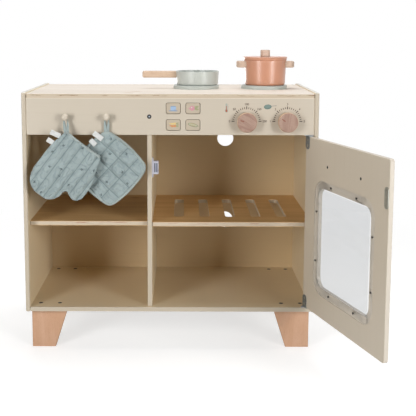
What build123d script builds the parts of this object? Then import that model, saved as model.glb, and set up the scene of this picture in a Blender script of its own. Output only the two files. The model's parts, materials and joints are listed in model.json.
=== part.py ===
from build123d import *
import os
from math import cos, hypot, radians, sin

# A wooden toy kitchen: a plywood cabinet on four legs with an open cubby on the left and an oven
# on the right, a windowed oven door, two hobs, two knobs, four push buttons, two pegs, a pan,
# a pot with a lid, an oven mitt and a pot holder.
# Sizes are in millimetres. X runs to the right, Y to the back, Z up.
# The cabinet is drawn with X = 0 at its middle, Y = 0 at the front edges of the side panels and
# Z = 0 on the floor. The last section moves everything so that the origin is on the floor
# under the centre of the whole footprint, with the oven door open as it is stored.

# Cabinet
WIDTH = 600.0
DEPTH = 306.0
BOARD = 9.0
INNER_HEIGHT = 435.0
SIDE_RISE = 3.0
FRONT_SETBACK = 1.8
FASCIA_HEIGHT = 74.0
BACK_THICKNESS = 4.0
LEFT_BAY_WIDTH = 244.2
SHELF_RISE = 178.0
LEFT_SHELF_SETBACK = 20.5
SIDE_CORNER_RADIUS = 4.0
SIDE_EDGE_ROUND = 2.5
EDGE_ROUND = 1.5
BOARD_END_ROUND = 1.6
BACK_HOLE_DIAMETER = 38.0
UPPER_HOLE_RISE = 316.0
LOWER_HOLE_RISE = 119.0

# Legs
LEG_HEIGHT = 83.0
LEG_TOP_WIDTH = 75.5
LEG_FOOT_WIDTH = 49.0
LEG_THICKNESS = 20.0
LEG_FRONT_INSET = 18.0
LEG_BACK_INSET = 7.0
LEG_EDGE_ROUND = 2.0
LEG_SCREW_SPACING = 40.0

# Slots of the oven shelf
SLOT_COUNT = 5
SLOT_PITCH = 54.5
SLOT_WIDTH = 21.0
SLOT_LENGTH = 184.0
SLOT_CORNER_RADIUS = 7.0

# Dowels and screws
DOWEL_DIAMETER = 6.0
DOWEL_LENGTH = 26.0
DOWEL_BITE = 6.0
DOWEL_EDGE_INSET = 45.0
RECESS_LENGTH = 0.6
RECESS_WIDTH = 0.16
RECESS_DEPTH = 0.15
LEG_SCREW_HEAD = 9.0
LEG_SCREW_SHANK = 4.5
LEG_SCREW_LENGTH = 38.0
SMALL_SCREW_HEAD = 6.0
SMALL_SCREW_SHANK = 3.0
SMALL_SCREW_LENGTH = 7.5
BACK_SCREW_HEAD = 6.0
BACK_SCREW_SHANK = 3.0
BACK_SCREW_LENGTH = 18.0
BACK_SCREW_EDGE_INSET = 60.0
DIVIDER_BOLT_HEAD = 9.0
DIVIDER_BOLT_HEAD_HEIGHT = 3.0
DIVIDER_BOLT_SHANK = 4.0
DIVIDER_BOLT_SOCKET = 3.0
DIVIDER_BOLT_SOCKET_DEPTH = 2.0
BARREL_NUT_DIAMETER = 8.0
BOLT_TIP = 1.0
BARREL_NUT_INSET = 22.0

# Oven door
OPEN_ANGLE = 107.0
PIVOT_SIDE_INSET = 7.5
PIVOT_DEPTH = 3.0
DOOR_SIDE_GAP = 1.5
DOOR_FREE_GAP = 2.3
DOOR_END_GAP = 2.3
DOOR_CORNER_RADIUS = 6.0
DOOR_SHELF_CLEARANCE = 1.0
WINDOW_WIDTH = 205.0
WINDOW_HEIGHT = 200.0
WINDOW_RADIUS = 20.0
WINDOW_RISE = 161.0
PANE_LAP = 15.5
PANE_THICKNESS = 2.0
PANE_FIT = 0.3
PANE_SCREW_LAP = 7.5
PANE_SCREW_SPREAD = 100.0
PANE_SCREW_HEAD = 4.5
PANE_SCREW_SHANK = 2.2
PANE_SCREW_LENGTH = 6.5

# Hinges
HINGE_PLATE = 1.0
HINGE_LEAF_WIDTH = 17.0
HINGE_LEAF_HEIGHT = 26.0
HINGE_LEAF_INSET = 0.5
HINGE_LEAF_RADIUS = 7.5
HINGE_SCREW_PITCH = 12.0
HINGE_SCREW_HEAD = 4.8
HINGE_SCREW_SHANK = 2.4
HINGE_FOOT_DEPTH = 8.0
HINGE_PIN_DIAMETER = 3.0
HINGE_PIN_LENGTH = 9.0
HINGE_BORE_DEPTH = 10.0
PIN_CLEARANCE = 0.05

# Door catch
CATCH_RISE = 291.8
CATCH_BASE_HEIGHT = 39.5
CATCH_BASE_THICKNESS = 3.0
CATCH_HEIGHT = 26.5
CATCH_REACH = 13.5
CATCH_DEPTH = 14.0
CATCH_CORNER_RADIUS = 1.2
CATCH_GAP = 0.4
CATCH_SCREW_HEAD = 4.6
CATCH_SCREW_SHANK = 2.3
MAGNET_HEIGHT = 19.0
MAGNET_THICKNESS = 4.0
MAGNET_DEPTH = 9.0
POLE_THICKNESS = 1.2
POLE_PROUD = 0.5
STRIKE_HEIGHT = 38.0
STRIKE_WIDTH = 12.0
STRIKE_THICKNESS = 1.5
STRIKE_SCREW_PITCH = 28.0

# Door handle
HANDLE_LENGTH = 158.0
HANDLE_WIDTH = 15.0
HANDLE_BAR = 11.0
HANDLE_REACH = 30.0
HANDLE_FOOT = 18.0
HANDLE_SCREW_PITCH = 130.6
HANDLE_DROP = 49.5
HANDLE_FOOT_STEP = 1.0
HANDLE_ROUND = 4.0
HANDLE_SCREW_HEAD = 6.0
HANDLE_SCREW_SHANK = 3.5
HANDLE_SCREW_LENGTH = 22.0

# Pegs
LEFT_PEG_INSET = 80.3
RIGHT_PEG_INSET = 163.1
PEG_BALL_DIAMETER = 14.0
PEG_STEM_DIAMETER = 6.5
PEG_NECK = 8.0
PEG_BITE = 6.0

# Knobs
LEFT_KNOB_INSET = 137.0
RIGHT_KNOB_INSET = 54.8
KNOB_DROP = 10.0
KNOB_DIAMETER = 40.0
KNOB_BACK_DIAMETER = 38.0
KNOB_HEIGHT = 21.0
KNOB_ROUND = 2.5
KNOB_GAP = 0.3
KNOB_BOLT_DIAMETER = 5.0
KNOB_BOLT_BITE = 12.0
KNOB_NUT_DIAMETER = 9.0
KNOB_NUT_HEIGHT = 4.5
KNOB_FLANGE_DIAMETER = 13.0
KNOB_FLANGE_THICKNESS = 1.2

# Push buttons
BUTTON_INSET = 63.8
BUTTON_PITCH_X = 39.75
BUTTON_PITCH_Z = 33.7
BUTTON_WIDTH = 30.0
BUTTON_HEIGHT = 23.0
BUTTON_RADIUS = 4.0
BUTTON_CLEARANCE = 0.7
BUTTON_RECESS = 1.6
BUTTON_LIP = 1.5
BUTTON_LIP_THICKNESS = 2.0
BUTTON_LIP_GAP = 0.2
BUTTON_TRAVEL = 4.0
HOUSING_WALL = 3.0
HOUSING_SIDE_ROOM = 2.0
SPRING_ROOM = 5.8
HOUSING_BOSS_DIAMETER = 6.8
HOUSING_SCREW_LENGTH = 21.0
SPRING_STRIP = 0.5
SPRING_WIDTH = 6.0
SPRING_LENGTH = 16.0
SPRING_GAP = 0.3

# Hobs
LEFT_HOB_INSET = 236.4
RIGHT_HOB_INSET = 87.0
HOB_SETBACK = 168.0
HOB_DIAMETER = 100.0
HOB_THICKNESS = 8.0
HOB_ROUND = 2.5
HOB_SCREW_SPACING = 40.0

# Pan, set down a little off the middle of its hob
PAN_SHIFT = 2.6
PAN_DIAMETER = 95.0
PAN_FOOT_DIAMETER = 91.4
PAN_HEIGHT = 30.4
PAN_WALL = 2.0
PAN_ROUND = 5.0
RIM_ROUND = 0.8
PAN_HANDLE_LENGTH = 73.4
PAN_HANDLE_WIDTH = 15.0
PAN_HANDLE_THICKNESS = 13.0
PAN_HANDLE_DROP = 7.5
PAN_HANDLE_ROUND = 4.0

# Pot and lid, the pot also a little off the middle
POT_SHIFT = 2.0
POT_DIAMETER = 92.4
POT_FOOT_DIAMETER = 87.5
POT_HEIGHT = 54.8
POT_WALL = 2.0
POT_ROUND = 5.0
EAR_REACH = 17.0
EAR_WIDTH = 36.0
EAR_THICKNESS = 14.0
EAR_DROP = 9.5
EAR_CORNER_RADIUS = 12.0
EAR_ROUND = 3.0
LID_DIAMETER = 97.0
LID_UNDER_DIAMETER = 93.6
LID_THICKNESS = 7.0
LID_ROUND = 1.2
LID_PLUG_DEPTH = 3.0
LID_PLUG_CLEARANCE = 0.8
LID_KNOB_DIAMETER = 21.0
LID_KNOB_HEIGHT = 14.8
LID_KNOB_ROUND = 1.6
LID_KNOB_SPIGOT = 6.0
LID_KNOB_BITE = 5.0

# Oven mitt and pot holder, which hang from the pegs by a loop
LOOP_TAPE = 1.4
LOOP_WIDTH = 6.0
LOOP_CLEARANCE = 0.3
LOOP_SEW_IN = 4.0
LOOP_FASCIA_GAP = 0.8
LOOP_FOOT_SPREAD = 5.0
MITT_FASCIA_GAP = 12.6
MITT_THICKNESS = 13.0
MITT_WALL = 3.2
MITT_SEAM = 5.0
MITT_DROP = 27.0
MITT_SHIFT = 2.0
MITT_TILT = 37.6
MITT_QUILT_PITCH = 19.0
MITT_QUILT_COUNT = 5
MITT_CUFF_WIDTH = 88.5
MITT_LENGTH = 137.5
MITT_FLARE = 7.0
MITT_FLARE_DROP = 42.0
MITT_SHOULDER_DROP = 104.0
MITT_HEEL_X = 5.0
MITT_HEEL_DROP = 127.5
MITT_TIP_X = 34.0
MITT_FINGER_X = 58.5
MITT_FINGER_DROP = 132.0
MITT_INNER_X = 69.5
MITT_INNER_DROP = 115.0
MITT_CROTCH_X = 73.5
MITT_CROTCH_DROP = 95.0
THUMB_TIP_X = 97.0
THUMB_TIP_DROP = 104.0
THUMB_SIDE_X = 109.5
THUMB_SIDE_DROP = 82.0
THUMB_ROOT_X = 108.5
THUMB_ROOT_DROP = 62.0
HOLDER_SIDE = 119.5
HOLDER_CORNER_RADIUS = 20.0
HOLDER_THICKNESS = 8.0
HOLDER_TILT = 47.0
HOLDER_SHIFT = 2.7
HOLDER_DROP = 105.4
HOLDER_FASCIA_GAP = 1.2
HOLDER_QUILT_PITCH = 30.0
HOLDER_QUILT_COUNT = 3
QUILT_GROOVE = 1.0

# Places that follow from the sizes above
HALF = WIDTH / 2
INSIDE_X = HALF - BOARD
FLOOR_UNDER = LEG_HEIGHT
FLOOR_TOP = FLOOR_UNDER + BOARD
WORKTOP_UNDER = FLOOR_TOP + INNER_HEIGHT
WORKTOP_TOP = WORKTOP_UNDER + BOARD
SIDE_TOP = WORKTOP_TOP + SIDE_RISE
FASCIA_FRONT = FRONT_SETBACK
FASCIA_BACK = FASCIA_FRONT + BOARD
FASCIA_UNDER = WORKTOP_UNDER - FASCIA_HEIGHT
FASCIA_MIDDLE = WORKTOP_UNDER - FASCIA_HEIGHT / 2
BACK_FRONT = DEPTH - BACK_THICKNESS
SHELF_TOP = FLOOR_TOP + SHELF_RISE
SHELF_UNDER = SHELF_TOP - BOARD
DIVIDER_LEFT = -INSIDE_X + LEFT_BAY_WIDTH
DIVIDER_RIGHT = DIVIDER_LEFT + BOARD
DIVIDER_X = DIVIDER_LEFT + BOARD / 2
OVEN_X = (DIVIDER_RIGHT + INSIDE_X) / 2
PEG_X = (-INSIDE_X + LEFT_PEG_INSET, -INSIDE_X + RIGHT_PEG_INSET)
BUTTON_CENTRE_X = DIVIDER_RIGHT + BUTTON_INSET
KNOB_X = (INSIDE_X - LEFT_KNOB_INSET, INSIDE_X - RIGHT_KNOB_INSET)
HOB_X = (INSIDE_X - LEFT_HOB_INSET, INSIDE_X - RIGHT_HOB_INSET)
PIVOT_X = INSIDE_X - PIVOT_SIDE_INSET
PIVOT_Y = FASCIA_FRONT + PIVOT_DEPTH
DOOR_HINGE_EDGE = INSIDE_X - DOOR_SIDE_GAP
DOOR_FREE_EDGE = DIVIDER_RIGHT + DOOR_FREE_GAP
DOOR_WIDTH = DOOR_HINGE_EDGE - DOOR_FREE_EDGE
DOOR_X = (DOOR_HINGE_EDGE + DOOR_FREE_EDGE) / 2
DOOR_UNDER = FLOOR_TOP + DOOR_END_GAP
DOOR_TOP = FASCIA_UNDER - DOOR_END_GAP
DOOR_HEIGHT = DOOR_TOP - DOOR_UNDER
DOOR_FRONT = FASCIA_FRONT
DOOR_BACK = DOOR_FRONT + BOARD
DOOR_SWING = hypot(DOOR_HINGE_EDGE - PIVOT_X, DOOR_BACK - PIVOT_Y)
LEFT_SHELF_FRONT = FASCIA_FRONT + LEFT_SHELF_SETBACK
OVEN_SHELF_FRONT = PIVOT_Y + DOOR_SWING + DOOR_SHELF_CLEARANCE
WINDOW_Z = DOOR_UNDER + WINDOW_RISE
CATCH_Z = FLOOR_TOP + CATCH_RISE
HOB_Y = FASCIA_FRONT + HOB_SETBACK
HOB_TOP = WORKTOP_TOP + HOB_THICKNESS
PAN_X = HOB_X[0] + PAN_SHIFT
POT_X = HOB_X[1] + POT_SHIFT
KNOB_Z = FASCIA_MIDDLE - KNOB_DROP
HOUSING_DEPTH = BUTTON_LIP_GAP + BUTTON_LIP_THICKNESS + BUTTON_TRAVEL + SPRING_ROOM + HOUSING_WALL
UPPER_HOLE_Z = FLOOR_TOP + UPPER_HOLE_RISE
LOWER_HOLE_Z = FLOOR_TOP + LOWER_HOLE_RISE

# Turns that point a screw, drawn with its tip down, along an axis
TO_FRONT = Rot(X=-90)
TO_LEFT = Rot(Y=90)
UPWARDS = Rot(X=180)

parts = {}


def block(x0, x1, y0, y1, z0, z1):
    """Box between two corners."""
    middle = Pos((x0 + x1) / 2, (y0 + y1) / 2, (z0 + z1) / 2)
    return middle * Box(x1 - x0, y1 - y0, z1 - z0)


def standing(sketch, front, thickness):
    """A sketch in X and Z, made a plate that runs back from the plane Y = front."""
    return extrude(Plane.XZ.offset(-front) * sketch, -thickness)


def rod_y(radius, y0, y1, x, z):
    """Cylinder along Y."""
    return Pos(x, (y0 + y1) / 2, z) * Rot(X=90) * Cylinder(radius, y1 - y0)


def rod_x(radius, x0, x1, y, z):
    """Cylinder along X."""
    return Pos((x0 + x1) / 2, y, z) * Rot(Y=90) * Cylinder(radius, x1 - x0)


def rod_z(radius, z0, z1, x, y):
    """Cylinder along Z."""
    return Pos(x, y, (z0 + z1) / 2) * Cylinder(radius, z1 - z0)


def screw_body(head, shank, length):
    """Plain countersunk screw, its flat head at Z = 0 and its tip down. It is also the hole it needs."""
    cone_height = (head - shank) / 2
    cone = Pos(0, 0, -cone_height / 2) * Cone(shank / 2, head / 2, cone_height)
    return cone + rod_z(shank / 2, -length, -cone_height, 0, 0)


def screw(head, shank, length):
    """Countersunk screw with a cross recess."""
    recess_depth = RECESS_DEPTH * head
    arm = Box(RECESS_LENGTH * head, RECESS_WIDTH * head, 2 * recess_depth)
    return screw_body(head, shank, length) - arm - Rot(Z=90) * arm


def fasten(places, head, shank, length, through):
    """Screws at the places, and the pieces that they go through, drilled to fit."""
    screws = Compound([place * screw(head, shank, length) for place in places])
    drilled = []
    for piece in through:
        for place in places:
            piece = piece - place * screw_body(head, shank, length)
        drilled.append(piece)
    return screws, drilled


def swing_open(piece):
    """Turns a piece of the door from its closed place to its open one."""
    return Pos(PIVOT_X, PIVOT_Y, 0) * Rot(Z=OPEN_ANGLE) * Pos(-PIVOT_X, -PIVOT_Y, 0) * piece


def end_edges(piece, low, high):
    """Edges of a piece that reach both heights, whichever way they lean."""
    reach = []
    for edge in piece.edges():
        box = edge.bounding_box()
        if box.min.Z < low and box.max.Z > high:
            reach.append(edge)
    return reach


def side_panel(outer_x, inner_x):
    """Side panel with round top corners and softened edges."""
    low_x = min(outer_x, inner_x)
    panel = block(low_x, low_x + BOARD, 0, DEPTH, FLOOR_UNDER, SIDE_TOP)
    top_corners = panel.edges().filter_by(Axis.X).group_by(Axis.Z)[-1]
    panel = fillet(top_corners, SIDE_CORNER_RADIUS)
    outline = panel.faces().sort_by(Axis.X)[0].edges() + panel.faces().sort_by(Axis.X)[-1].edges()
    return fillet(outline, SIDE_EDGE_ROUND)


def round_front_ends(board):
    """Softens the two upright edges where the front of a board meets the side panels."""
    ends = board.edges().filter_by(Axis.Z).group_by(Axis.Y)[0]
    return fillet(ends, BOARD_END_ROUND)


def leg(front):
    """Left leg, a trapezoid of solid beech whose outer face is upright."""
    outer = -INSIDE_X
    outline = Polygon(
        (outer, 0),
        (outer + LEG_FOOT_WIDTH, 0),
        (outer + LEG_TOP_WIDTH, LEG_HEIGHT),
        (outer, LEG_HEIGHT),
        align=None,
    )
    blank = standing(outline, front, LEG_THICKNESS)
    return fillet(end_edges(blank, LEG_EDGE_ROUND, LEG_HEIGHT - LEG_EDGE_ROUND), LEG_EDGE_ROUND)


def vessel(diameter, foot_diameter, height, wall, round_radius):
    """Round pan or pot, open at the top, and the same shape left solid."""
    def cup(top, foot, tall, radius):
        blank = Pos(0, 0, tall / 2) * Cone(foot / 2, top / 2, tall)
        return fillet(blank.edges().group_by(Axis.Z)[0], radius)
    solid = cup(diameter, foot_diameter, height, round_radius)
    bore = cup(diameter - 2 * wall, foot_diameter - 2 * wall, height, round_radius - wall)
    hollow = Pos(0, 0, wall) * bore
    body = solid - hollow
    rim = body.edges().group_by(Axis.Z)[-1]
    return fillet(rim, RIM_ROUND), solid


def pillow(outline, thickness, crown_share=0.5):
    """Padded piece: its rim is upright in the middle and leans in towards both faces."""
    belly = thickness / 2 * crown_share
    crown = thickness / 2 - belly
    half = extrude(outline, belly, taper=12)
    top = half.faces().sort_by(Axis.Z)[-1]
    half = half + extrude(top, crown, taper=50)
    return half + mirror(half, about=Plane.XY)


def quilt(piece, places, length, thickness):
    """Presses sewn channels into both faces of a flat padded piece."""
    side = QUILT_GROOVE * 2**0.5
    bar = Rot(X=45) * Box(length, side, side)
    for place in places:
        for face in (-thickness / 2, thickness / 2):
            piece = piece - place * Pos(0, 0, face) * bar
    return piece


# Side panels
parts["left_side_panel"] = side_panel(-HALF, -INSIDE_X)
parts["right_side_panel"] = side_panel(HALF, INSIDE_X)

# Boards between the side panels
worktop = block(-INSIDE_X, INSIDE_X, FASCIA_FRONT, DEPTH, WORKTOP_UNDER, WORKTOP_TOP)
bottom_panel = block(-INSIDE_X, INSIDE_X, FASCIA_FRONT, BACK_FRONT, FLOOR_UNDER, FLOOR_TOP)
front_panel = block(-INSIDE_X, INSIDE_X, FASCIA_FRONT, FASCIA_BACK, FASCIA_UNDER, WORKTOP_UNDER)
divider = block(DIVIDER_LEFT, DIVIDER_RIGHT, FASCIA_BACK, BACK_FRONT, FLOOR_TOP, WORKTOP_UNDER)
worktop = round_front_ends(worktop)
bottom_panel = round_front_ends(bottom_panel)
front_panel = round_front_ends(front_panel)
left_shelf = block(-INSIDE_X, DIVIDER_LEFT, LEFT_SHELF_FRONT, BACK_FRONT, SHELF_UNDER, SHELF_TOP)
oven_shelf = block(DIVIDER_RIGHT, INSIDE_X, OVEN_SHELF_FRONT, BACK_FRONT, SHELF_UNDER, SHELF_TOP)
back_panel = block(-INSIDE_X, INSIDE_X, BACK_FRONT, DEPTH, FLOOR_UNDER, WORKTOP_UNDER)

# Slots of the oven shelf, spread evenly about its middle
slot_outline = RectangleRounded(SLOT_WIDTH, SLOT_LENGTH, SLOT_CORNER_RADIUS)
slot_cutter = extrude(slot_outline, BOARD)
slot_y = (OVEN_SHELF_FRONT + BACK_FRONT) / 2
for i in range(SLOT_COUNT):
    slot_x = OVEN_X + (i - (SLOT_COUNT - 1) / 2) * SLOT_PITCH
    oven_shelf = oven_shelf - Pos(slot_x, slot_y, SHELF_UNDER) * slot_cutter

# Two hand holes in the back of the oven
for hole_z in (UPPER_HOLE_Z, LOWER_HOLE_Z):
    back_panel = back_panel - rod_y(BACK_HOLE_DIAMETER / 2, BACK_FRONT, DEPTH, OVEN_X, hole_z)

# Legs under the bottom panel
front_leg = leg(FASCIA_FRONT + LEG_FRONT_INSET)
back_leg = leg(BACK_FRONT - LEG_BACK_INSET - LEG_THICKNESS)
legs = {
    "front_left_leg": front_leg,
    "back_left_leg": back_leg,
    "front_right_leg": mirror(front_leg, about=Plane.YZ),
    "back_right_leg": mirror(back_leg, about=Plane.YZ),
}
leg_screws = []
for name, piece in legs.items():
    side = -1 if "left" in name else 1
    row = FASCIA_FRONT + LEG_FRONT_INSET if "front" in name else BACK_FRONT - LEG_BACK_INSET - LEG_THICKNESS
    middle_x = side * (INSIDE_X - LEG_TOP_WIDTH / 2)
    places = [
        Pos(middle_x + shift, row + LEG_THICKNESS / 2, FLOOR_TOP)
        for shift in (-LEG_SCREW_SPACING / 2, LEG_SCREW_SPACING / 2)
    ]
    screws, (bottom_panel, drilled_leg) = fasten(
        places, LEG_SCREW_HEAD, LEG_SCREW_SHANK, LEG_SCREW_LENGTH, (bottom_panel, piece)
    )
    leg_screws.extend(screws.solids())
    parts[name] = drilled_leg
parts["leg_screws"] = Compound(leg_screws)

# Dowels that pin the boards to the side panels, and both shelves to each other through the divider
dowels = []
for y in (OVEN_SHELF_FRONT + DOWEL_EDGE_INSET, BACK_FRONT - DOWEL_EDGE_INSET):
    for z in (FLOOR_UNDER + BOARD / 2, SHELF_TOP - BOARD / 2, WORKTOP_UNDER + BOARD / 2):
        for side in (-1, 1):
            ends = sorted((side * (INSIDE_X + DOWEL_BITE), side * (INSIDE_X + DOWEL_BITE - DOWEL_LENGTH)))
            dowels.append(rod_x(DOWEL_DIAMETER / 2, ends[0], ends[1], y, z))
    dowel_ends = (DIVIDER_X - DOWEL_LENGTH / 2, DIVIDER_X + DOWEL_LENGTH / 2)
    dowels.append(rod_x(DOWEL_DIAMETER / 2, *dowel_ends, y, SHELF_TOP - BOARD / 2))
for dowel in dowels:
    worktop = worktop - dowel
    bottom_panel = bottom_panel - dowel
    left_shelf = left_shelf - dowel
    oven_shelf = oven_shelf - dowel
    divider = divider - dowel
    parts["left_side_panel"] = parts["left_side_panel"] - dowel
    parts["right_side_panel"] = parts["right_side_panel"] - dowel
parts["panel_dowels"] = Compound(dowels)

# Screws that hold the back panel on the bottom panel, the shelves and the divider
board_z = FLOOR_UNDER + BOARD / 2
shelf_z = SHELF_TOP - BOARD / 2
back_places = []
for x in (-INSIDE_X + BACK_SCREW_EDGE_INSET, INSIDE_X - BACK_SCREW_EDGE_INSET):
    for z in (board_z, shelf_z):
        back_places.append(Pos(x, DEPTH, z) * TO_FRONT)
for z in (board_z + BACK_SCREW_EDGE_INSET, shelf_z + BACK_SCREW_EDGE_INSET, FASCIA_UNDER):
    back_places.append(Pos(DIVIDER_X, DEPTH, z) * TO_FRONT)
back_screws, (back_panel, bottom_panel, left_shelf, oven_shelf, divider) = fasten(
    back_places,
    BACK_SCREW_HEAD,
    BACK_SCREW_SHANK,
    BACK_SCREW_LENGTH,
    (back_panel, bottom_panel, left_shelf, oven_shelf, divider),
)
parts["back_panel_screws"] = back_screws

# Bolt through the fascia into a barrel nut in the divider
nut_y = FASCIA_BACK + BARREL_NUT_INSET
bolt_end = nut_y + BARREL_NUT_DIAMETER / 2 + BOLT_TIP
bolt_hole = rod_y(DIVIDER_BOLT_SHANK / 2, FASCIA_FRONT, bolt_end, DIVIDER_X, FASCIA_MIDDLE)
head_back = FASCIA_FRONT + DIVIDER_BOLT_HEAD_HEIGHT
bolt_head = rod_y(DIVIDER_BOLT_HEAD / 2, FASCIA_FRONT, head_back, DIVIDER_X, FASCIA_MIDDLE)
bolt_body = bolt_head + bolt_hole
hex_socket = standing(
    Pos(DIVIDER_X, FASCIA_MIDDLE) * RegularPolygon(DIVIDER_BOLT_SOCKET, 6),
    FASCIA_FRONT,
    DIVIDER_BOLT_SOCKET_DEPTH,
)
barrel_nut = rod_x(BARREL_NUT_DIAMETER / 2, DIVIDER_LEFT, DIVIDER_RIGHT, nut_y, FASCIA_MIDDLE)
parts["divider_bolt"] = bolt_body - hex_socket
parts["divider_barrel_nut"] = barrel_nut - bolt_body
front_panel = front_panel - bolt_body
divider = divider - barrel_nut - bolt_body

# Pegs with a ball end, glued into blind holes of the fascia
for name, x in zip(("left_peg", "right_peg"), PEG_X):
    ball_y = FASCIA_FRONT - PEG_NECK - PEG_BALL_DIAMETER / 2
    stem = rod_y(PEG_STEM_DIAMETER / 2, ball_y, FASCIA_FRONT + PEG_BITE, x, FASCIA_MIDDLE)
    parts[name] = Pos(x, ball_y, FASCIA_MIDDLE) * Sphere(PEG_BALL_DIAMETER / 2) + stem
    front_panel = front_panel - stem

# Knobs, each turning on a bolt that runs through the fascia
for side, x in zip(("left", "right"), KNOB_X):
    knob_back = FASCIA_FRONT - KNOB_GAP
    knob_front = knob_back - KNOB_HEIGHT
    disc = Pos(x, (knob_front + knob_back) / 2, KNOB_Z) * Rot(X=90) * Cone(
        KNOB_BACK_DIAMETER / 2, KNOB_DIAMETER / 2, KNOB_HEIGHT
    )
    disc = fillet(disc.edges().filter_by(GeomType.CIRCLE), KNOB_ROUND)
    nut_front = FASCIA_BACK + KNOB_GAP
    nut_back = nut_front + KNOB_FLANGE_THICKNESS + KNOB_NUT_HEIGHT
    bolt = rod_y(KNOB_BOLT_DIAMETER / 2, knob_back - KNOB_BOLT_BITE, nut_back + BOLT_TIP, x, KNOB_Z)
    flange = rod_y(KNOB_FLANGE_DIAMETER / 2, nut_front, nut_front + KNOB_FLANGE_THICKNESS, x, KNOB_Z)
    hexagon = standing(
        Pos(x, KNOB_Z) * RegularPolygon(KNOB_NUT_DIAMETER / 2, 6),
        nut_front + KNOB_FLANGE_THICKNESS,
        KNOB_NUT_HEIGHT,
    )
    nut = flange + hexagon - bolt
    parts[side + "_knob"] = disc - bolt
    parts[side + "_knob_bolt"] = Compound([bolt.solids()[0], nut.solids()[0]])
    bore = rod_y(KNOB_BOLT_DIAMETER / 2 + PIN_CLEARANCE, FASCIA_FRONT, FASCIA_BACK, x, KNOB_Z)
    front_panel = front_panel - bore

# Push buttons: each tile slides in its window of the fascia and is kept by a lip behind it
button_places = {
    "upper_left": (-1, 1),
    "upper_right": (1, 1),
    "lower_left": (-1, -1),
    "lower_right": (1, -1),
}
tile_front = FASCIA_FRONT + BUTTON_RECESS
lip_front = FASCIA_BACK + BUTTON_LIP_GAP
lip_back = lip_front + BUTTON_LIP_THICKNESS
housing_inside = FASCIA_BACK + HOUSING_DEPTH - HOUSING_WALL
tile_width = BUTTON_WIDTH - 2 * BUTTON_CLEARANCE
tile_height = BUTTON_HEIGHT - 2 * BUTTON_CLEARANCE
for name, (right, up) in button_places.items():
    x = BUTTON_CENTRE_X + right * BUTTON_PITCH_X / 2
    z = FASCIA_MIDDLE + up * BUTTON_PITCH_Z / 2
    opening = Pos(x, z) * RectangleRounded(BUTTON_WIDTH, BUTTON_HEIGHT, BUTTON_RADIUS)
    front_panel = front_panel - standing(opening, FASCIA_FRONT, BOARD)
    face = Pos(x, z) * RectangleRounded(tile_width, tile_height, BUTTON_RADIUS - BUTTON_CLEARANCE)
    lip = Pos(x, z) * RectangleRounded(
        BUTTON_WIDTH + 2 * BUTTON_LIP, BUTTON_HEIGHT + 2 * BUTTON_LIP, BUTTON_RADIUS
    )
    tile = standing(face, tile_front, lip_front - tile_front)
    tile = fillet(tile.faces().sort_by(Axis.Y)[0].edges(), EDGE_ROUND / 2)
    parts[name + "_button"] = tile + standing(lip, lip_front, BUTTON_LIP_THICKNESS)
    # A bowed leaf spring rests its ends on the housing and its crown on the tile
    crown = lip_back + SPRING_GAP
    foot = housing_inside
    outer = ThreePointArc((-SPRING_LENGTH / 2, foot), (0, crown), (SPRING_LENGTH / 2, foot))
    inner = ThreePointArc(
        (SPRING_LENGTH / 2 - SPRING_STRIP, foot),
        (0, crown + SPRING_STRIP),
        (-SPRING_LENGTH / 2 + SPRING_STRIP, foot),
    )
    bow = make_face(
        [outer, Line(outer @ 1, inner @ 0), inner, Line(inner @ 1, outer @ 0)]
    )
    parts[name + "_button_spring"] = Pos(x, 0, z - SPRING_WIDTH / 2) * extrude(bow, SPRING_WIDTH)

# Housing behind the buttons, a tray screwed to the back of the fascia
room_x = BUTTON_PITCH_X / 2 + BUTTON_WIDTH / 2 + BUTTON_LIP + HOUSING_SIDE_ROOM
room_z = BUTTON_PITCH_Z / 2 + BUTTON_HEIGHT / 2 + BUTTON_LIP + HOUSING_SIDE_ROOM / 2
housing_back = FASCIA_BACK + HOUSING_DEPTH
housing = block(
    BUTTON_CENTRE_X - room_x - HOUSING_WALL,
    BUTTON_CENTRE_X + room_x + HOUSING_WALL,
    FASCIA_BACK,
    housing_back,
    FASCIA_MIDDLE - room_z - HOUSING_WALL,
    FASCIA_MIDDLE + room_z + HOUSING_WALL,
)
housing = fillet(housing.edges().filter_by(Axis.Y), HOUSING_WALL)
housing = housing - block(
    BUTTON_CENTRE_X - room_x,
    BUTTON_CENTRE_X + room_x,
    FASCIA_BACK,
    housing_inside,
    FASCIA_MIDDLE - room_z,
    FASCIA_MIDDLE + room_z,
)
boss_reach = room_x - HOUSING_BOSS_DIAMETER / 2 + HOUSING_WALL / 2
for shift in (-boss_reach, 0, boss_reach):
    x = BUTTON_CENTRE_X + shift
    housing = housing + rod_y(HOUSING_BOSS_DIAMETER / 2, FASCIA_BACK, housing_inside, x, FASCIA_MIDDLE)
housing_places = [
    Pos(BUTTON_CENTRE_X + shift, housing_back, FASCIA_MIDDLE) * TO_FRONT
    for shift in (-boss_reach, 0, boss_reach)
]
housing_screws, (housing, front_panel) = fasten(
    housing_places, SMALL_SCREW_HEAD, SMALL_SCREW_SHANK, HOUSING_SCREW_LENGTH, (housing, front_panel)
)
parts["button_housing"] = housing
fitting_screws = list(housing_screws.solids())

# Hobs, held by screws from under the worktop
for side, x in zip(("left", "right"), HOB_X):
    hob = rod_z(HOB_DIAMETER / 2, WORKTOP_TOP, HOB_TOP, x, HOB_Y)
    hob = fillet(hob.edges().group_by(Axis.Z)[-1], HOB_ROUND)
    places = [
        Pos(x + shift, HOB_Y, WORKTOP_UNDER) * UPWARDS
        for shift in (-HOB_SCREW_SPACING / 2, HOB_SCREW_SPACING / 2)
    ]
    screws, (worktop, hob) = fasten(
        places, SMALL_SCREW_HEAD, SMALL_SCREW_SHANK, BOARD + HOB_THICKNESS / 2, (worktop, hob)
    )
    fitting_screws.extend(screws.solids())
    parts[side + "_hob"] = hob

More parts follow.
